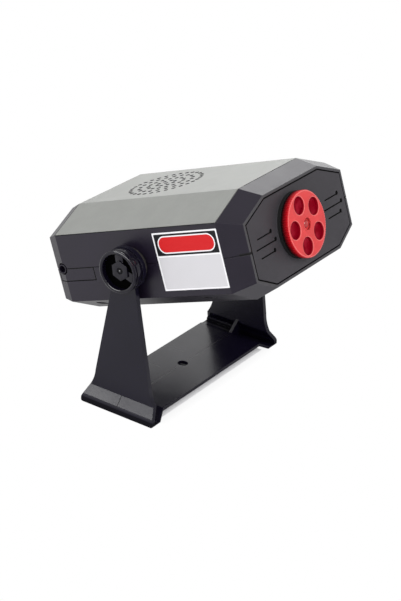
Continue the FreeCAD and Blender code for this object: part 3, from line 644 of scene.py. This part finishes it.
class ProjectorColours(bpy.types.PropertyGroup):
    shell: a_colour("Shell", "Moulded black of the two housing halves", 0.008, 0.005, 0.014)
    panel: a_colour("Front panel", "Moulded black of the inset front panel", 0.041, 0.038, 0.044)
    cover: a_colour("Cover", "Sprayed silver of the top cover", 0.295, 0.302, 0.286)
    stand: a_colour("Stand", "Moulded black of the stand", 0.004, 0.003, 0.01)
    knob: a_colour("Knobs", "Moulded black of the clamp knobs", 0.004, 0.003, 0.008)
    wheel: a_colour("Wheel", "Red of the pattern wheel", 0.69, 0.06, 0.06)
    film: a_colour("Gratings", "Deep red of the grating film", 0.24, 0.0004, 0.009)
    label_white: a_colour("Label border", "Pale border of the blank label", 0.86, 0.86, 0.87)
    label_grey: a_colour("Label field", "Pale grey field of the blank label", 0.62, 0.615, 0.63)
    label_dark: a_colour("Label heading", "Dark heading of the blank label", 0.006, 0.006, 0.008)
    label_red: a_colour("Label bar", "Plain red bar in the label's heading", 0.6, 0.01, 0.012)
    # Painted highlight: this grey lightens the housing's lip and rear bevel and the gusset's upper edge.
    lip: a_colour("Lips", "Dull grey of the housing's lips and of rubbed edges", 0.06, 0.058, 0.063)
    # Painted shade: this dull black stands for the shade in the knobs' recesses and along the feet's lower
    # rims.
    painted_shade: a_colour("Hollows", "Dull black of deep hollows and scuffed rims", 0.002, 0.002, 0.002)
    bare: a_colour("Bare plastic", "Black inside the holes of the cover", 0.004, 0.004, 0.004)
    rim_front: a_colour("Rim front", "Red of the wheel's rim at its front", 0.56, 0.001, 0.008)
    # Painted shade: the rim's red fades to this near black towards its back.
    rim_back_shade: a_colour("Rim back", "Deep red of the wheel's rim at its back", 0.02, 0.0, 0.001)
    # Painted shade: the windows' walls take this darker red.
    window: a_colour("Windows", "Red inside the wheel's windows", 0.3, 0.0, 0.01)
    # Painted highlight: the light red of the wheel's edges.
    wheel_edge: a_colour("Wheel edges", "Light red of the wheel's edges", 0.95, 0.26, 0.25)
    film_cloud: a_colour("Film clouds", "Lighter red clouds in the gratings", 0.36, 0.012, 0.03)
    bolt_tip: a_colour("Bolt tips", "Steel of the pivot bolts' tips", 0.16, 0.16, 0.165)
    steel: a_colour("Steel", "Plated steel of the works and screws", 0.62, 0.61, 0.6)
    # Partly painted shade: the bolts' blued steel is kept near black so that they read as the shade in the
    # knobs' holes.
    blued_steel_and_shade: a_colour("Blued steel", "Dark steel of the pivot bolts", 0.02, 0.02, 0.022)
    brass: a_colour("Brass", "Turned brass of the laser barrel and inserts", 0.78, 0.56, 0.28)
    lens: a_colour("Lens", "Red of the laser's lens", 0.5, 0.08, 0.08)
    fibre: a_colour("Fibre", "Dark fibre of the washers", 0.03, 0.027, 0.025)
    cone: a_colour("Cone", "Black paper of the speaker cone", 0.05, 0.05, 0.05)
    ferrite: a_colour("Ferrite", "Grey of the speaker magnet", 0.07, 0.07, 0.075)
    board: a_colour("Board", "Green of the circuit board", 0.02, 0.14, 0.05)
    capacitor: a_colour("Capacitors", "Blue of the capacitors' sleeves", 0.02, 0.05, 0.2)
    cell: a_colour("Cells", "Gold of the cells' sleeves", 0.45, 0.3, 0.04)
    hub: a_colour("Hub", "Pale plastic of the disc's hub", 0.5, 0.5, 0.48)
    floor: a_colour("Floor", "White of the studio floor", 0.82, 0.81, 0.85)


class ProjectorSizes(bpy.types.PropertyGroup):
    label_width: a_length("Label width", "Length of the label along the side", 38.3 * MM)
    label_height: a_length("Label height", "Height of the label", 29.1 * MM)
    label_border: a_length("Label border", "Width of the label's pale border", 0.8 * MM)
    label_corner: a_length("Label corner", "Radius of the label's corners", 0.3 * MM)
    label_thickness: a_length("Label thickness", "Thickness of the sticker", 0.06 * MM)
    label_middle_y: a_length("Label middle", "Middle of the label along the head", -35.65 * MM)
    label_middle_z: a_length("Label height place", "Middle of the label above the pivot", 0.15 * MM)
    side_x: a_length("Side face", "Side face of the housing from its middle", 50.0 * MM)
    ring_pitch: a_length("Grille ring pitch", "Step between the rings of grille holes", 4.65 * MM)
    rim_inner: a_length("Hole radius", "Inner radius of the bare edge of a grille hole", 0.72 * MM)
    rim_outer: a_length("Hole rim radius", "Outer radius of the bare edge of a grille hole", 1.12 * MM)
    rim_height: a_length("Hole rim height", "Thickness of the bare edge", 0.03 * MM)
    grille_y: a_length("Grille middle", "Middle of the grille along the head", 7.6 * MM)
    cover_z: a_length("Cover top", "Top of the cover above the pivot", 26.75 * MM)
    wheel_radius: a_length("Wheel radius", "Radius over the ribs of the wheel", 16.4 * MM)
    wheel_depth: a_length("Wheel depth", "Thickness of the wheel", 4.1 * MM)
    wheel_edge: a_length("Wheel edge", "Rounding of the wheel's edges", 0.32 * MM)
    rib_depth: a_length("Wheel rib depth", "Depth of the ribs on the wheel's rim", 0.3 * MM)
    window_radius: a_length("Window radius", "Radius of a window in the wheel", 4.45 * MM)
    window_reach: a_length("Window reach", "Distance of a window from the wheel's middle", 10.65 * MM)
    hub_radius: a_length("Hub radius", "Radius of the hub's recess", 3.0 * MM)
    hub_depth: a_length("Hub depth", "Depth of the hub's recess", 1.2 * MM)
    hub_bore: a_length("Hub bore", "Radius of the hole for the wheel's screw", 1.55 * MM)
    hub_wall: a_length("Hub wall", "Width of the raised ring round the hub", 0.6 * MM)
    hub_rise: a_length("Hub rise", "Height of the hub's ring over the wheel's face", 0.22 * MM)
    hub_edge: a_length("Hub edge", "Rounding of the hub's ring", 0.18 * MM)
    screw_play: a_length("Screw play", "Clearance of the wheel's screw in the hub", 0.05 * MM)
    screw_radius: a_length("Screw radius", "Radius of the domed head of the wheel's screw", 2.0 * MM)
    screw_head: a_length("Screw head", "Height of the domed head of the wheel's screw", 1.05 * MM)
    knob_radius: a_length("Knob radius", "Radius of a clamp knob", 10.9 * MM)
    knob_recess: a_length("Knob recess", "Radius of the recess in a clamp knob", 9.1 * MM)
    knob_floor: a_length("Knob floor", "Height of the recess floor over the knob's seat", 1.6 * MM)
    knob_root: a_length("Knob root", "Radius of the insert in the knob's root", 3.2 * MM)
    boss_radius: a_length("Boss radius", "Radius over the corners of the knob's boss", 5.2 * MM)
    boss_height: a_length("Boss height", "Height of the boss over the knob's seat", 3.8 * MM)
    boss_hole: a_length("Boss hole", "Radius of the hole in the boss", 1.6 * MM)
    web_width: a_length("Web width", "Width of the webs in a clamp knob", 4.6 * MM)
    web_height: a_length("Web height", "Height of the webs over the knob's seat", 3.1 * MM)
    tip_radius: a_length("Bolt tip radius", "Radius of the rounded tip of a pivot bolt", 0.7 * MM)
    tip_height: a_length("Bolt tip height", "Height of the rounded tip of a pivot bolt", 0.45 * MM)


class ProjectorStudio(bpy.types.PropertyGroup):
    camera_turn: an_angle("Camera turn", "Direction the camera stands in", -57.42)
    camera_rise: an_angle("Camera rise", "Height of the camera above the horizon", 26.3)
    camera_roll: an_angle("Camera roll", "Lean of the camera", 3.57)
    camera_distance: a_length("Camera distance", "Distance from the aimed point", 886.75 * MM)
    aim_x: a_length("Aim across", "Aimed point, across the stand", 13.39 * MM)
    aim_z: a_length("Aim height", "Aimed point, above the floor", 36.56 * MM)
    lens: FloatProperty(
        name="Lens", description="Focal length of the camera", default=101.47, unit="CAMERA"
    )
    left_power: a_power("Left light", "Power of the strip lamp on the left", 4.8)
    right_power: a_power("Right light", "Power of the lamp behind the right", 1.05)
    high_power: a_power("High light", "Power of the small lamp above the right", 0.14)
    front_power: a_power("Front light", "Power of the soft fill in front", 2.6)


def colours():
    return bpy.context.scene.projector_colours


def sizes():
    return bpy.context.scene.projector_sizes


def studio():
    return bpy.context.scene.projector_studio


# Pieces
class PROJECTOR_OT_housing(bpy.types.Operator):
    """Gives the housing halves and their small moulded pieces their black finish"""

    bl_idname = "projector.housing"
    bl_label = "Housing"

    def execute(self, context):
        black = colours().shell
        # The shell takes painted shade in its notches and jack groove and a painted highlight on its lip
        # and rear bevel.
        shell = moulded("shell moulding", black, roughness=0.36, marks=shell_painted_shade, pale=shell_lip_highlight)
        dress(shell, "upper_shell", "lower_shell", "jack_plate", "battery_door")
        small = moulded("small moulding", black, roughness=0.45)
        dress(small, "input_jack", "switch_body", "switch_slider", "board_chip", "effect_disc")
        return {"FINISHED"}


class PROJECTOR_OT_cover(bpy.types.Operator):
    """Sprays the top cover silver"""

    bl_idname = "projector.cover"
    bl_label = "Top cover"

    def execute(self, context):
        dress(silver_paint("cover silver", colours().cover), "top_cover")
        return {"FINISHED"}


class PROJECTOR_OT_grille(bpy.types.Operator):
    """Adds the edges bare of paint round the holes of the grille"""

    bl_idname = "projector.grille"
    bl_label = "Grille rims"

    rings = (8, 15, 20, 30)
    rim_sides = 24

    def execute(self, context):
        values = sizes()
        bare = moulded("bare edge", colours().knob, roughness=0.8, ior_level=0.0)
        given = {
            "Ring pitch": ("NodeSocketFloat", values.ring_pitch),
            "Hole radius": ("NodeSocketFloat", values.rim_inner),
            "Rim radius": ("NodeSocketFloat", values.rim_outer),
            "Rim height": ("NodeSocketFloat", values.rim_height),
            "Finish": ("NodeSocketMaterial", bare),
        }
        tree = bpy.data.node_groups.new("grille rims", "GeometryNodeTree")
        tree.interface.new_socket(name="Rims", in_out="OUTPUT", socket_type="NodeSocketGeometry")
        sockets = {
            name: tree.interface.new_socket(name=name, in_out="INPUT", socket_type=kind)
            for name, (kind, _) in given.items()
        }
        self.connect(Graph(tree), given)
        carrier = bpy.data.objects.new("rim carrier", bpy.data.meshes.new("rim carrier"))
        bpy.context.scene.collection.objects.link(carrier)
        modifier = carrier.modifiers.new("Grille rims", "NODES")
        modifier.node_group = tree
        for name, (_, value) in given.items():
            modifier[sockets[name].identifier] = value
        mesh = evaluated(carrier)
        carrier.modifiers.remove(modifier)
        bpy.data.objects.remove(carrier)
        if not mesh.polygons:
            raise RuntimeError("the grille rims came out empty")
        mesh.name = "grille_rims"
        mesh.transform(HEAD_PLACE @ Matrix.Translation((0.0, values.grille_y, values.cover_z)))
        add_piece("grille_rims", mesh, bare, "head")
        return {"FINISHED"}

    def connect(self, graph, given):
        """Repeats one rim on a middle point and the rings round it."""
        start = graph.node("NodeGroupInput")
        pitch, inner, outer, height, finish = (Field(graph, start.outputs[name]) for name in given)
        points = [graph.field("GeometryNodeMeshLine", "Mesh", None, {"Count": 1})]
        for ring, count in enumerate(self.rings, 1):
            inputs = {"Vertices": count, "Radius": pitch * float(ring)}
            points.append(graph.field("GeometryNodeMeshCircle", "Mesh", None, inputs))
        join = graph.node("GeometryNodeJoinGeometry")
        for group in points:
            graph.tree.links.new(group.socket, join.inputs["Geometry"])
        inputs = {"Resolution": self.rim_sides, "Radius": (inner + outer) * 0.5}
        path = graph.field("GeometryNodeCurvePrimitiveCircle", "Curve", None, inputs)
        inputs = {"Width": outer - inner, "Height": height}
        band = graph.field("GeometryNodeCurvePrimitiveQuadrilateral", "Curve", None, inputs)
        rim = graph.field("GeometryNodeCurveToMesh", "Mesh", None, {"Curve": path, "Profile Curve": band})
        inputs = {"Points": Field(graph, join.outputs["Geometry"]), "Instance": rim}
        repeated = graph.field("GeometryNodeInstanceOnPoints", "Instances", None, inputs)
        real = graph.field("GeometryNodeRealizeInstances", "Geometry", None, {"Geometry": repeated})
        inputs = {"Geometry": real, "Material": finish}
        painted = graph.field("GeometryNodeSetMaterial", "Geometry", None, inputs)
        graph.node("NodeGroupOutput", None, {"Rims": painted})


class PROJECTOR_OT_panel(bpy.types.Operator):
    """Gives the front panel its finely textured black"""

    bl_idname = "projector.panel"
    bl_label = "Front panel"

    def execute(self, context):
        panel = moulded(
            "panel moulding", colours().panel, roughness=0.5, grain=0.015, edge=0.15, marks=panel_painted_shade
        )
        dress(panel, "front_panel")
        return {"FINISHED"}


class PROJECTOR_OT_wheel(bpy.types.Operator):
    """Cuts the smooth ribbed wheel with its windows and finishes its gratings and screw"""

    bl_idname = "projector.wheel"
    bl_label = "Pattern wheel"

    ribs = 84
    rib_steps = 6
    windows = 5
    window_sides = 64
    hub_sides = 48

    def execute(self, context):
        red = red_plastic("wheel red", colours().wheel)
        body = finished(self.wheel(), "wheel_body", WHEEL_PLACE)
        piece = add_piece("wheel_body", body, red, "wheel")
        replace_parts(piece, "pattern_wheel")
        screw = finished(self.screw(), "wheel_screw_body", WHEEL_PLACE)
        deep = shade(colours().wheel, 0.6)
        gloss = moulded("screw red", deep, roughness=0.07, grain=0.001, edge=0.1, ior_level=1.0)
        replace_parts(add_piece("wheel_screw_body", screw, gloss, "head"), "wheel_screw")
        dress(grating_film("grating film", colours().film), "wheel_gratings")
        return {"FINISHED"}

    def wheel(self):
        """The ribbed wheel with its windows and hub."""
        values = sizes()
        steps = self.rib_steps * self.ribs
        rim = []
        for step in range(steps):
            turn = 2 * math.pi * step / steps
            swell = 0.5 + 0.5 * math.cos(self.ribs * turn)
            reach = values.wheel_radius - values.rib_depth * (1 - swell)
            rim.append((reach * math.cos(turn), reach * math.sin(turn)))
        places = circle(values.window_reach, self.windows, start=math.pi)
        holes = [circle(values.window_radius, self.window_sides, place) for place in places]
        hub = circle(values.hub_radius, self.hub_sides)
        plate = outline_mesh([rim, *holes, hub], values.wheel_depth, values.wheel_edge)
        shape = bmesh.new()
        shape.from_mesh(plate)
        bpy.data.meshes.remove(plate)
        front = values.wheel_depth / 2
        floor = front - values.hub_depth
        bore, low, high = values.hub_bore, values.hub_radius, values.hub_radius + values.hub_wall
        wall = low + 0.1 * MM
        turned(shape, [(bore, -front), (wall, -front), (wall, floor), (bore, floor)], self.hub_sides)
        top = front + values.hub_rise
        reaches = (0.0, 0.0, values.hub_edge, values.hub_edge)
        ring = eased([(low, floor), (high, floor), (high, top), (low, top)], reaches)
        turned(shape, ring, self.hub_sides)
        return shape

    def screw(self):
        """The screw in the hub, with a smooth domed head."""
        values = sizes()
        near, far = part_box("wheel_screw")
        floor = values.wheel_depth / 2 - values.hub_depth
        foot = floor - (far[1] - near[1] - values.screw_head)
        seat = floor + values.screw_play
        shank = values.hub_bore - values.screw_play
        dome = domed(values.screw_radius, values.screw_head, seat)
        shape = bmesh.new()
        turned(shape, [(0.0, foot), (shank, foot), (shank, seat), *dome], self.hub_sides)
        return shape


class PROJECTOR_OT_knobs(bpy.types.Operator):
    """Turns the smooth clamp knobs, with their recess, boss and webs"""

    bl_idname = "projector.knobs"
    bl_label = "Clamp knobs"

    sides = 128
    boss_sides = 96
    tip_sides = 32
    boss_turn = math.radians(49.6)
    web_turns = (math.radians(-8.0), math.radians(-128.0))

    def execute(self, context):
        values = sizes()
        near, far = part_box("clamp_knob_left")
        seat, depth = far[0], far[0] - near[0]
        black = colours().knob
        knob = moulded(
            "knob moulding", black, roughness=0.13, grain=0.002, edge=0.1, ior_level=0.4, painted_shade_mask=knob_hollow_shade
        )
        tip_steel = metal("bolt tip", colours().bolt_tip, 0.2)
        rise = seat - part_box("pivot_bolt_left")[0][0]
        onto_left = Matrix.Translation((seat, 0.0, 0.0)) @ Matrix.Rotation(math.radians(-90), 4, "Y")
        onto_right = Matrix.Rotation(math.pi, 4, "Z") @ onto_left
        for side, place in (("left", onto_left), ("right", onto_right)):
            mesh = finished(self.knob(depth), "knob_" + side + "_body", HEAD_PLACE @ place)
            piece = add_piece("knob_" + side + "_body", mesh, knob, "knob_" + side)
            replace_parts(piece, "clamp_knob_" + side)
            tip = bmesh.new()
            turned(tip, [(0.0, rise), *domed(values.tip_radius, values.tip_height, rise)], self.tip_sides)
            mesh = finished(tip, "bolt_tip_" + side, HEAD_PLACE @ place)
            add_piece("bolt_tip_" + side, mesh, tip_steel, "head")
        return {"FINISHED"}

    def knob(self, depth):
        """A cup with a grooved side, a six-sided boss and its webs, seated at height zero."""
        values = sizes()
        radius, recess, floor = values.knob_radius, values.knob_recess, values.knob_floor
        waist = radius - 0.45 * MM
        taper, foot = 0.2 * MM, 1.2 * MM
        slope, drop = 0.6 * MM, 0.37 * MM
        groove = (depth - 2.3 * MM, depth - 1.5 * MM)
        profile = [
            (values.knob_root, 0.0),
            (radius - taper, 0.0),
            (radius, foot),
            (radius, groove[0]),
            (waist, groove[0]),
            (waist, groove[1]),
            (radius, groove[1]),
            (radius, depth - drop),
            (radius - slope, depth),
            (recess + slope, depth),
            (recess, depth - drop),
            (recess, floor),
            (values.knob_root, floor),
        ]
        reaches = [0.0, 0.25, 0.2, 0.18, 0.1, 0.1, 0.2, 0.12, 0.12, 0.12, 0.12, 0.5, 0.0]
        shape = bmesh.new()
        turned(shape, eased(profile, [reach * MM for reach in reaches]), self.sides)
        apothem = math.cos(math.pi / 6)

        def six_sided(radius, angle):
            if radius < 2 * values.boss_hole:
                return radius
            return radius * apothem / math.cos(angle % (math.pi / 3) - math.pi / 6)

        outer, hole, top = values.boss_radius, values.boss_hole, values.boss_height
        corners = [(hole, floor), (outer, floor), (outer, top), (hole, top)]
        boss = eased(corners, [0.0, 0.0, 0.22 * MM, 0.3 * MM], 3)
        turned(shape, boss, self.boss_sides, self.boss_turn, six_sided)
        half = values.web_width / 2
        into_floor, into_wall, web_edge = 0.3 * MM, 0.5 * MM, 0.2 * MM
        low = (0.75 * outer, -half, floor - into_floor)
        high = (recess + into_wall, half, values.web_height)
        for turn in self.web_turns:
            slab(shape, low, high, turn, web_edge)
        return shape


class PROJECTOR_OT_stand(bpy.types.Operator):
    """Finishes the stand"""

    bl_idname = "projector.stand"
    bl_label = "Stand"

    def execute(self, context):
        stand = moulded(
            "stand moulding",
            colours().stand,
            roughness=0.22,
            grain=0.003,
            edge=0.15,
            ior_level=0.38,
            marks=stand_marks,
            pale=gusset_edge_highlight,
            painted_shade_mask=foot_lip_shade,
        )
        dress(stand, "stand_base", "stand_arm_left", "stand_arm_right")
        return {"FINISHED"}


class PROJECTOR_OT_inside(bpy.types.Operator):
    """Finishes the working pieces inside the housing and the fastenings"""

    bl_idname = "projector.inside"
    bl_label = "Works"

    def execute(self, context):
        tones = colours()
        steel = metal("plated steel", tones.steel)
        dress(steel, "case_screws", "disc_motor", "motor_shaft")
        dress(steel, "optics_bracket", "battery_contacts", "speaker_frame")
        # Partly painted shade: the near black blued steel also stands for the shade in the knobs' holes.
        dress(metal("blued steel", tones.blued_steel_and_shade, 0.4), "pivot_bolt_left", "pivot_bolt_right")
        brass = metal("turned brass", tones.brass, 0.24)
        dress(brass, "laser_barrel", "knob_insert_left", "knob_insert_right")
        dress(moulded("lens", tones.lens, roughness=0.08, grain=0.001), "laser_lens")
        fibre = paper("washer fibre", tones.fibre)
        dress(fibre, "friction_washer_left", "friction_washer_right", "wheel_washer")
        dress(paper("cone paper", tones.cone), "speaker_cone")
        dress(moulded("ferrite", tones.ferrite, roughness=0.7, grain=0.05), "speaker_magnet")
        dress(circuit_board("circuit board", tones.board), "main_board")
        sleeve = {"roughness": 0.3, "grain": 0.004}
        dress(moulded("capacitor sleeve", tones.capacitor, **sleeve), "board_capacitors")
        dress(moulded("cell sleeve", tones.cell, **sleeve), "battery_cells")
        dress(moulded("hub moulding", tones.hub, roughness=0.4), "disc_hub")
        return {"FINISHED"}


class PROJECTOR_OT_label(bpy.types.Operator):
    """Sticks the blank label on the side of the housing"""

    bl_idname = "projector.label"
    bl_label = "Side label"

    corner_steps = 6

    def execute(self, context):
        values = sizes()
        corner = values.label_corner
        outline = []
        for turn, (side, rise) in enumerate(((1, 1), (-1, 1), (-1, -1), (1, -1))):
            for step in range(self.corner_steps + 1):
                angle = math.pi / 2 * (turn + step / self.corner_steps)
                u = side * (values.label_width / 2 - corner) + corner * math.cos(angle)
                v = rise * (values.label_height / 2 - corner) + corner * math.sin(angle)
                outline.append((u, v))
        shape = bmesh.new()
        layer = shape.loops.layers.uv.new("label")
        front = []
        back = []
        for u, v in outline:
            y = values.label_middle_y - u
            z = values.label_middle_z + v
            front.append(shape.verts.new((-values.side_x - values.label_thickness, y, z)))
            back.append(shape.verts.new((-values.side_x, y, z)))
        shape.faces.new(front)
        shape.faces.new(list(reversed(back)))
        for first in range(len(front)):
            second = (first + 1) % len(front)
            shape.faces.new((front[first], back[first], back[second], front[second]))
        for face in shape.faces:
            for loop in face.loops:
                loop[layer].uv = (
                    0.5 - (loop.vert.co.y - values.label_middle_y) / values.label_width,
                    0.5 + (loop.vert.co.z - values.label_middle_z) / values.label_height,
                )
        bmesh.ops.recalc_face_normals(shape, faces=shape.faces)
        mesh = bpy.data.meshes.new("side_label")
        shape.to_mesh(mesh)
        shape.free()
        mesh.transform(HEAD_PLACE)
        add_piece("side_label", mesh, label_print("label print"), "head")
        return {"FINISHED"}


# Studio
class PROJECTOR_OT_stage(bpy.types.Operator):
    """Sets the white floor, the soft lamps and the camera"""

    bl_idname = "projector.stage"
    bl_label = "Studio"

    def execute(self, context):
        self.floor()
        self.surroundings()
        self.lamps()
        self.camera()
        bpy.context.scene.view_settings.view_transform = "Standard"
        return {"FINISHED"}

    def seen(self, finish, gloss):
        """One where the camera looks straight at the surface, less where a gloss or a clear piece does."""
        camera, glossy, clear = finish.rays("Camera", "Glossy", "Transmission")
        return camera.most(glossy.most(clear) * gloss)

    def floor(self):
        """White paper that glows for the camera, with a soft shadow at the stand, and painted shade that
        dims it in mirrors near the stand and far in front.
        """
        reach = 3.0
        foot_inset, plate_inset = 4.0 * MM, 3.0 * MM
        mesh = bpy.data.meshes.new("studio_floor")
        corners = [(-reach, -reach, 0.0), (reach, -reach, 0.0), (reach, reach, 0.0), (-reach, reach, 0.0)]
        mesh.from_pydata(corners, [], [(0, 1, 2, 3)])
        finish = new_finish("floor paper")
        pulp = finish.noise(finish.place(), 20.0, detail=4.0)
        near, far = (Vector(corner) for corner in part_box("stand_base"))
        middle = (near + far) / 2
        across, along, _ = finish.parts(finish.place((middle.x, middle.y, 0.0)))
        past_side = abs(across) - (far.x - middle.x - foot_inset)
        past_front = abs(along) - (far.y - middle.y - plate_inset)
        beside, before = past_side.most(0.0), past_front.most(0.0)
        away = (beside * beside + before * before) ** 0.5
        under = finish.spread(past_side.most(past_front), -5.0 * MM, 0.0, 0.0, 0.4)
        around = (away > 0.0) * finish.spread(away, 0.0, 6.0 * MM, 0.84, 1.0)
        # Painted shade: mirrors see the paper at 42 per cent, and with less glow near the stand, beside the
        # feet and far in front.
        _, ahead, _ = finish.parts(finish.place())
        front_gloss = finish.spread(ahead, -170.0 * MM, -20.0 * MM, 0.0, 0.5)
        rear_gloss = finish.spread(ahead, 40.0 * MM, 130.0 * MM, 0.0, 0.4)
        reflected_shade_by_foot = (beside > 0.0) * finish.spread(beside, 6.0 * MM, 30.0 * MM, 0.8, 0.0)
        gloss = (front_gloss + rear_gloss) * finish.spread(away, 0.0, 14.0 * MM) * (1.0 - reflected_shade_by_foot)
        white = colours().floor
        (mirrored,) = finish.rays("Glossy")
        tone = finish.mix(pulp, shade(white, 0.99), shade(white))
        tone = finish.mix(mirrored, tone, shade(white, 0.42))
        matt = finish.field("ShaderNodeBsdfDiffuse", 0, None, {"Color": tone})
        glow = finish.field("ShaderNodeEmission", 0, None, {"Color": (1.0, 1.0, 1.0, 1.0)})
        share = self.seen(finish, gloss) * around.most(under)
        blend = finish.field("ShaderNodeMixShader", 0, None, {0: share, 1: matt, 2: glow})
        finish.node("ShaderNodeOutputMaterial", None, {"Surface": blend})
        mesh.materials.append(finish.holder)
        floor = bpy.data.objects.new("studio_floor", mesh)
        bpy.context.scene.collection.objects.link(floor)

    def surroundings(self):
        """A white room, dimmer in mirrors towards the front and overhead."""
        soft_light = 0.8
        world = bpy.data.worlds.new("studio")
        bpy.context.scene.world = world
        finish = Finish(world)
        _, back, up = finish.parts(finish.field("ShaderNodeTexCoord", "Generated"))
        camera, glossy, clear = finish.rays("Camera", "Glossy", "Transmission")
        mirror = glossy.most(clear)
        mirrored = finish.spread(back, -0.7, 0.2, 0.45, 1.0) * finish.spread(up, 0.3, 0.85, 1.0, 0.45)
        glow = mirror * mirrored + (1.0 - mirror) * soft_light
        strength = camera + (1.0 - camera) * glow
        inputs = {"Color": (1.0, 1.0, 1.0, 1.0), "Strength": strength}
        sky = finish.field("ShaderNodeBackground", 0, None, inputs)
        finish.node("ShaderNodeOutputWorld", None, {"Surface": sky})

    def lamp(self, name, power, wide, tall, spot, aim):
        light = bpy.data.lights.new(name, "AREA")
        light.shape = "RECTANGLE"
        light.size = wide
        light.size_y = tall
        light.energy = power
        holder = bpy.data.objects.new(name, light)
        bpy.context.scene.collection.objects.link(holder)
        holder.location = spot
        holder.rotation_euler = (Vector(aim) - Vector(spot)).to_track_quat("-Z", "Y").to_euler()

    def lamps(self):
        """Three soft lamps and a small one over the front bevel, each with its size, place and aim."""
        powers = studio()
        self.lamp("left lamp", powers.left_power, 1.5, 0.13, (-0.93, 0.2, 0.62), (0.0, 0.0, 0.05))
        self.lamp("right lamp", powers.right_power, 0.5, 0.5, (0.76, 0.5, 0.17), (0.0, 0.0, 0.06))
        self.lamp("high lamp", powers.high_power, 0.12, 0.12, (0.32, 0.15, 0.33), (0.0, -0.04, 0.124))
        self.lamp("front lamp", powers.front_power, 0.3, 0.3, (-0.16, -0.72, 0.72), (0.0, 0.0, 0.08))

    def camera(self):
        turn, rise, roll = studio().camera_turn, studio().camera_rise, studio().camera_roll
        back = Vector((math.sin(turn) * math.cos(rise), -math.cos(turn) * math.cos(rise), math.sin(rise)))
        across = Vector((math.cos(turn), math.sin(turn), 0.0))
        upward = back.cross(across)
        right = math.cos(roll) * across + math.sin(roll) * upward
        top = math.cos(roll) * upward - math.sin(roll) * across
        aim = Vector((studio().aim_x, PIVOT.y, studio().aim_z))
        data = bpy.data.cameras.new("camera")
        data.lens = studio().lens
        data.clip_start = 0.01
        data.clip_end = 20.0
        camera = bpy.data.objects.new("camera", data)
        bpy.context.scene.collection.objects.link(camera)
        place = Matrix((right, top, back)).transposed().to_4x4()
        place.translation = aim + back * studio().camera_distance
        camera.matrix_world = place
        bpy.context.scene.camera = camera


class PROJECTOR_PT_panel(bpy.types.Panel):
    """Lists the projector's pieces and settings"""

    bl_idname = "PROJECTOR_PT_panel"
    bl_label = "Laser show projector"
    bl_space_type = "VIEW_3D"
    bl_region_type = "UI"
    bl_category = "Projector"

    def draw(self, context):
        for operator in STEPS:
            self.layout.operator(operator.bl_idname)
        for group in (colours(), sizes(), studio()):
            box = self.layout.box()
            for name in group.__annotations__:
                box.prop(group, name)


STEPS = (
    PROJECTOR_OT_housing,
    PROJECTOR_OT_cover,
    PROJECTOR_OT_grille,
    PROJECTOR_OT_panel,
    PROJECTOR_OT_wheel,
    PROJECTOR_OT_knobs,
    PROJECTOR_OT_stand,
    PROJECTOR_OT_inside,
    PROJECTOR_OT_label,
    PROJECTOR_OT_stage,
)
GROUPS = {
    "projector_colours": ProjectorColours,
    "projector_sizes": ProjectorSizes,
    "projector_studio": ProjectorStudio,
}


def register():
    for name, group in GROUPS.items():
        bpy.utils.register_class(group)
        setattr(bpy.types.Scene, name, PointerProperty(type=group))
    for step in (*STEPS, PROJECTOR_PT_panel):
        bpy.utils.register_class(step)


def unregister():
    for step in (PROJECTOR_PT_panel, *reversed(STEPS)):
        bpy.utils.unregister_class(step)
    for name, group in GROUPS.items():
        delattr(bpy.types.Scene, name)
        bpy.utils.unregister_class(group)


def main():
    register()
    for step in STEPS:
        family, action = step.bl_idname.split(".")
        getattr(getattr(bpy.ops, family), action)()


if __name__ == "__main__":
    main()
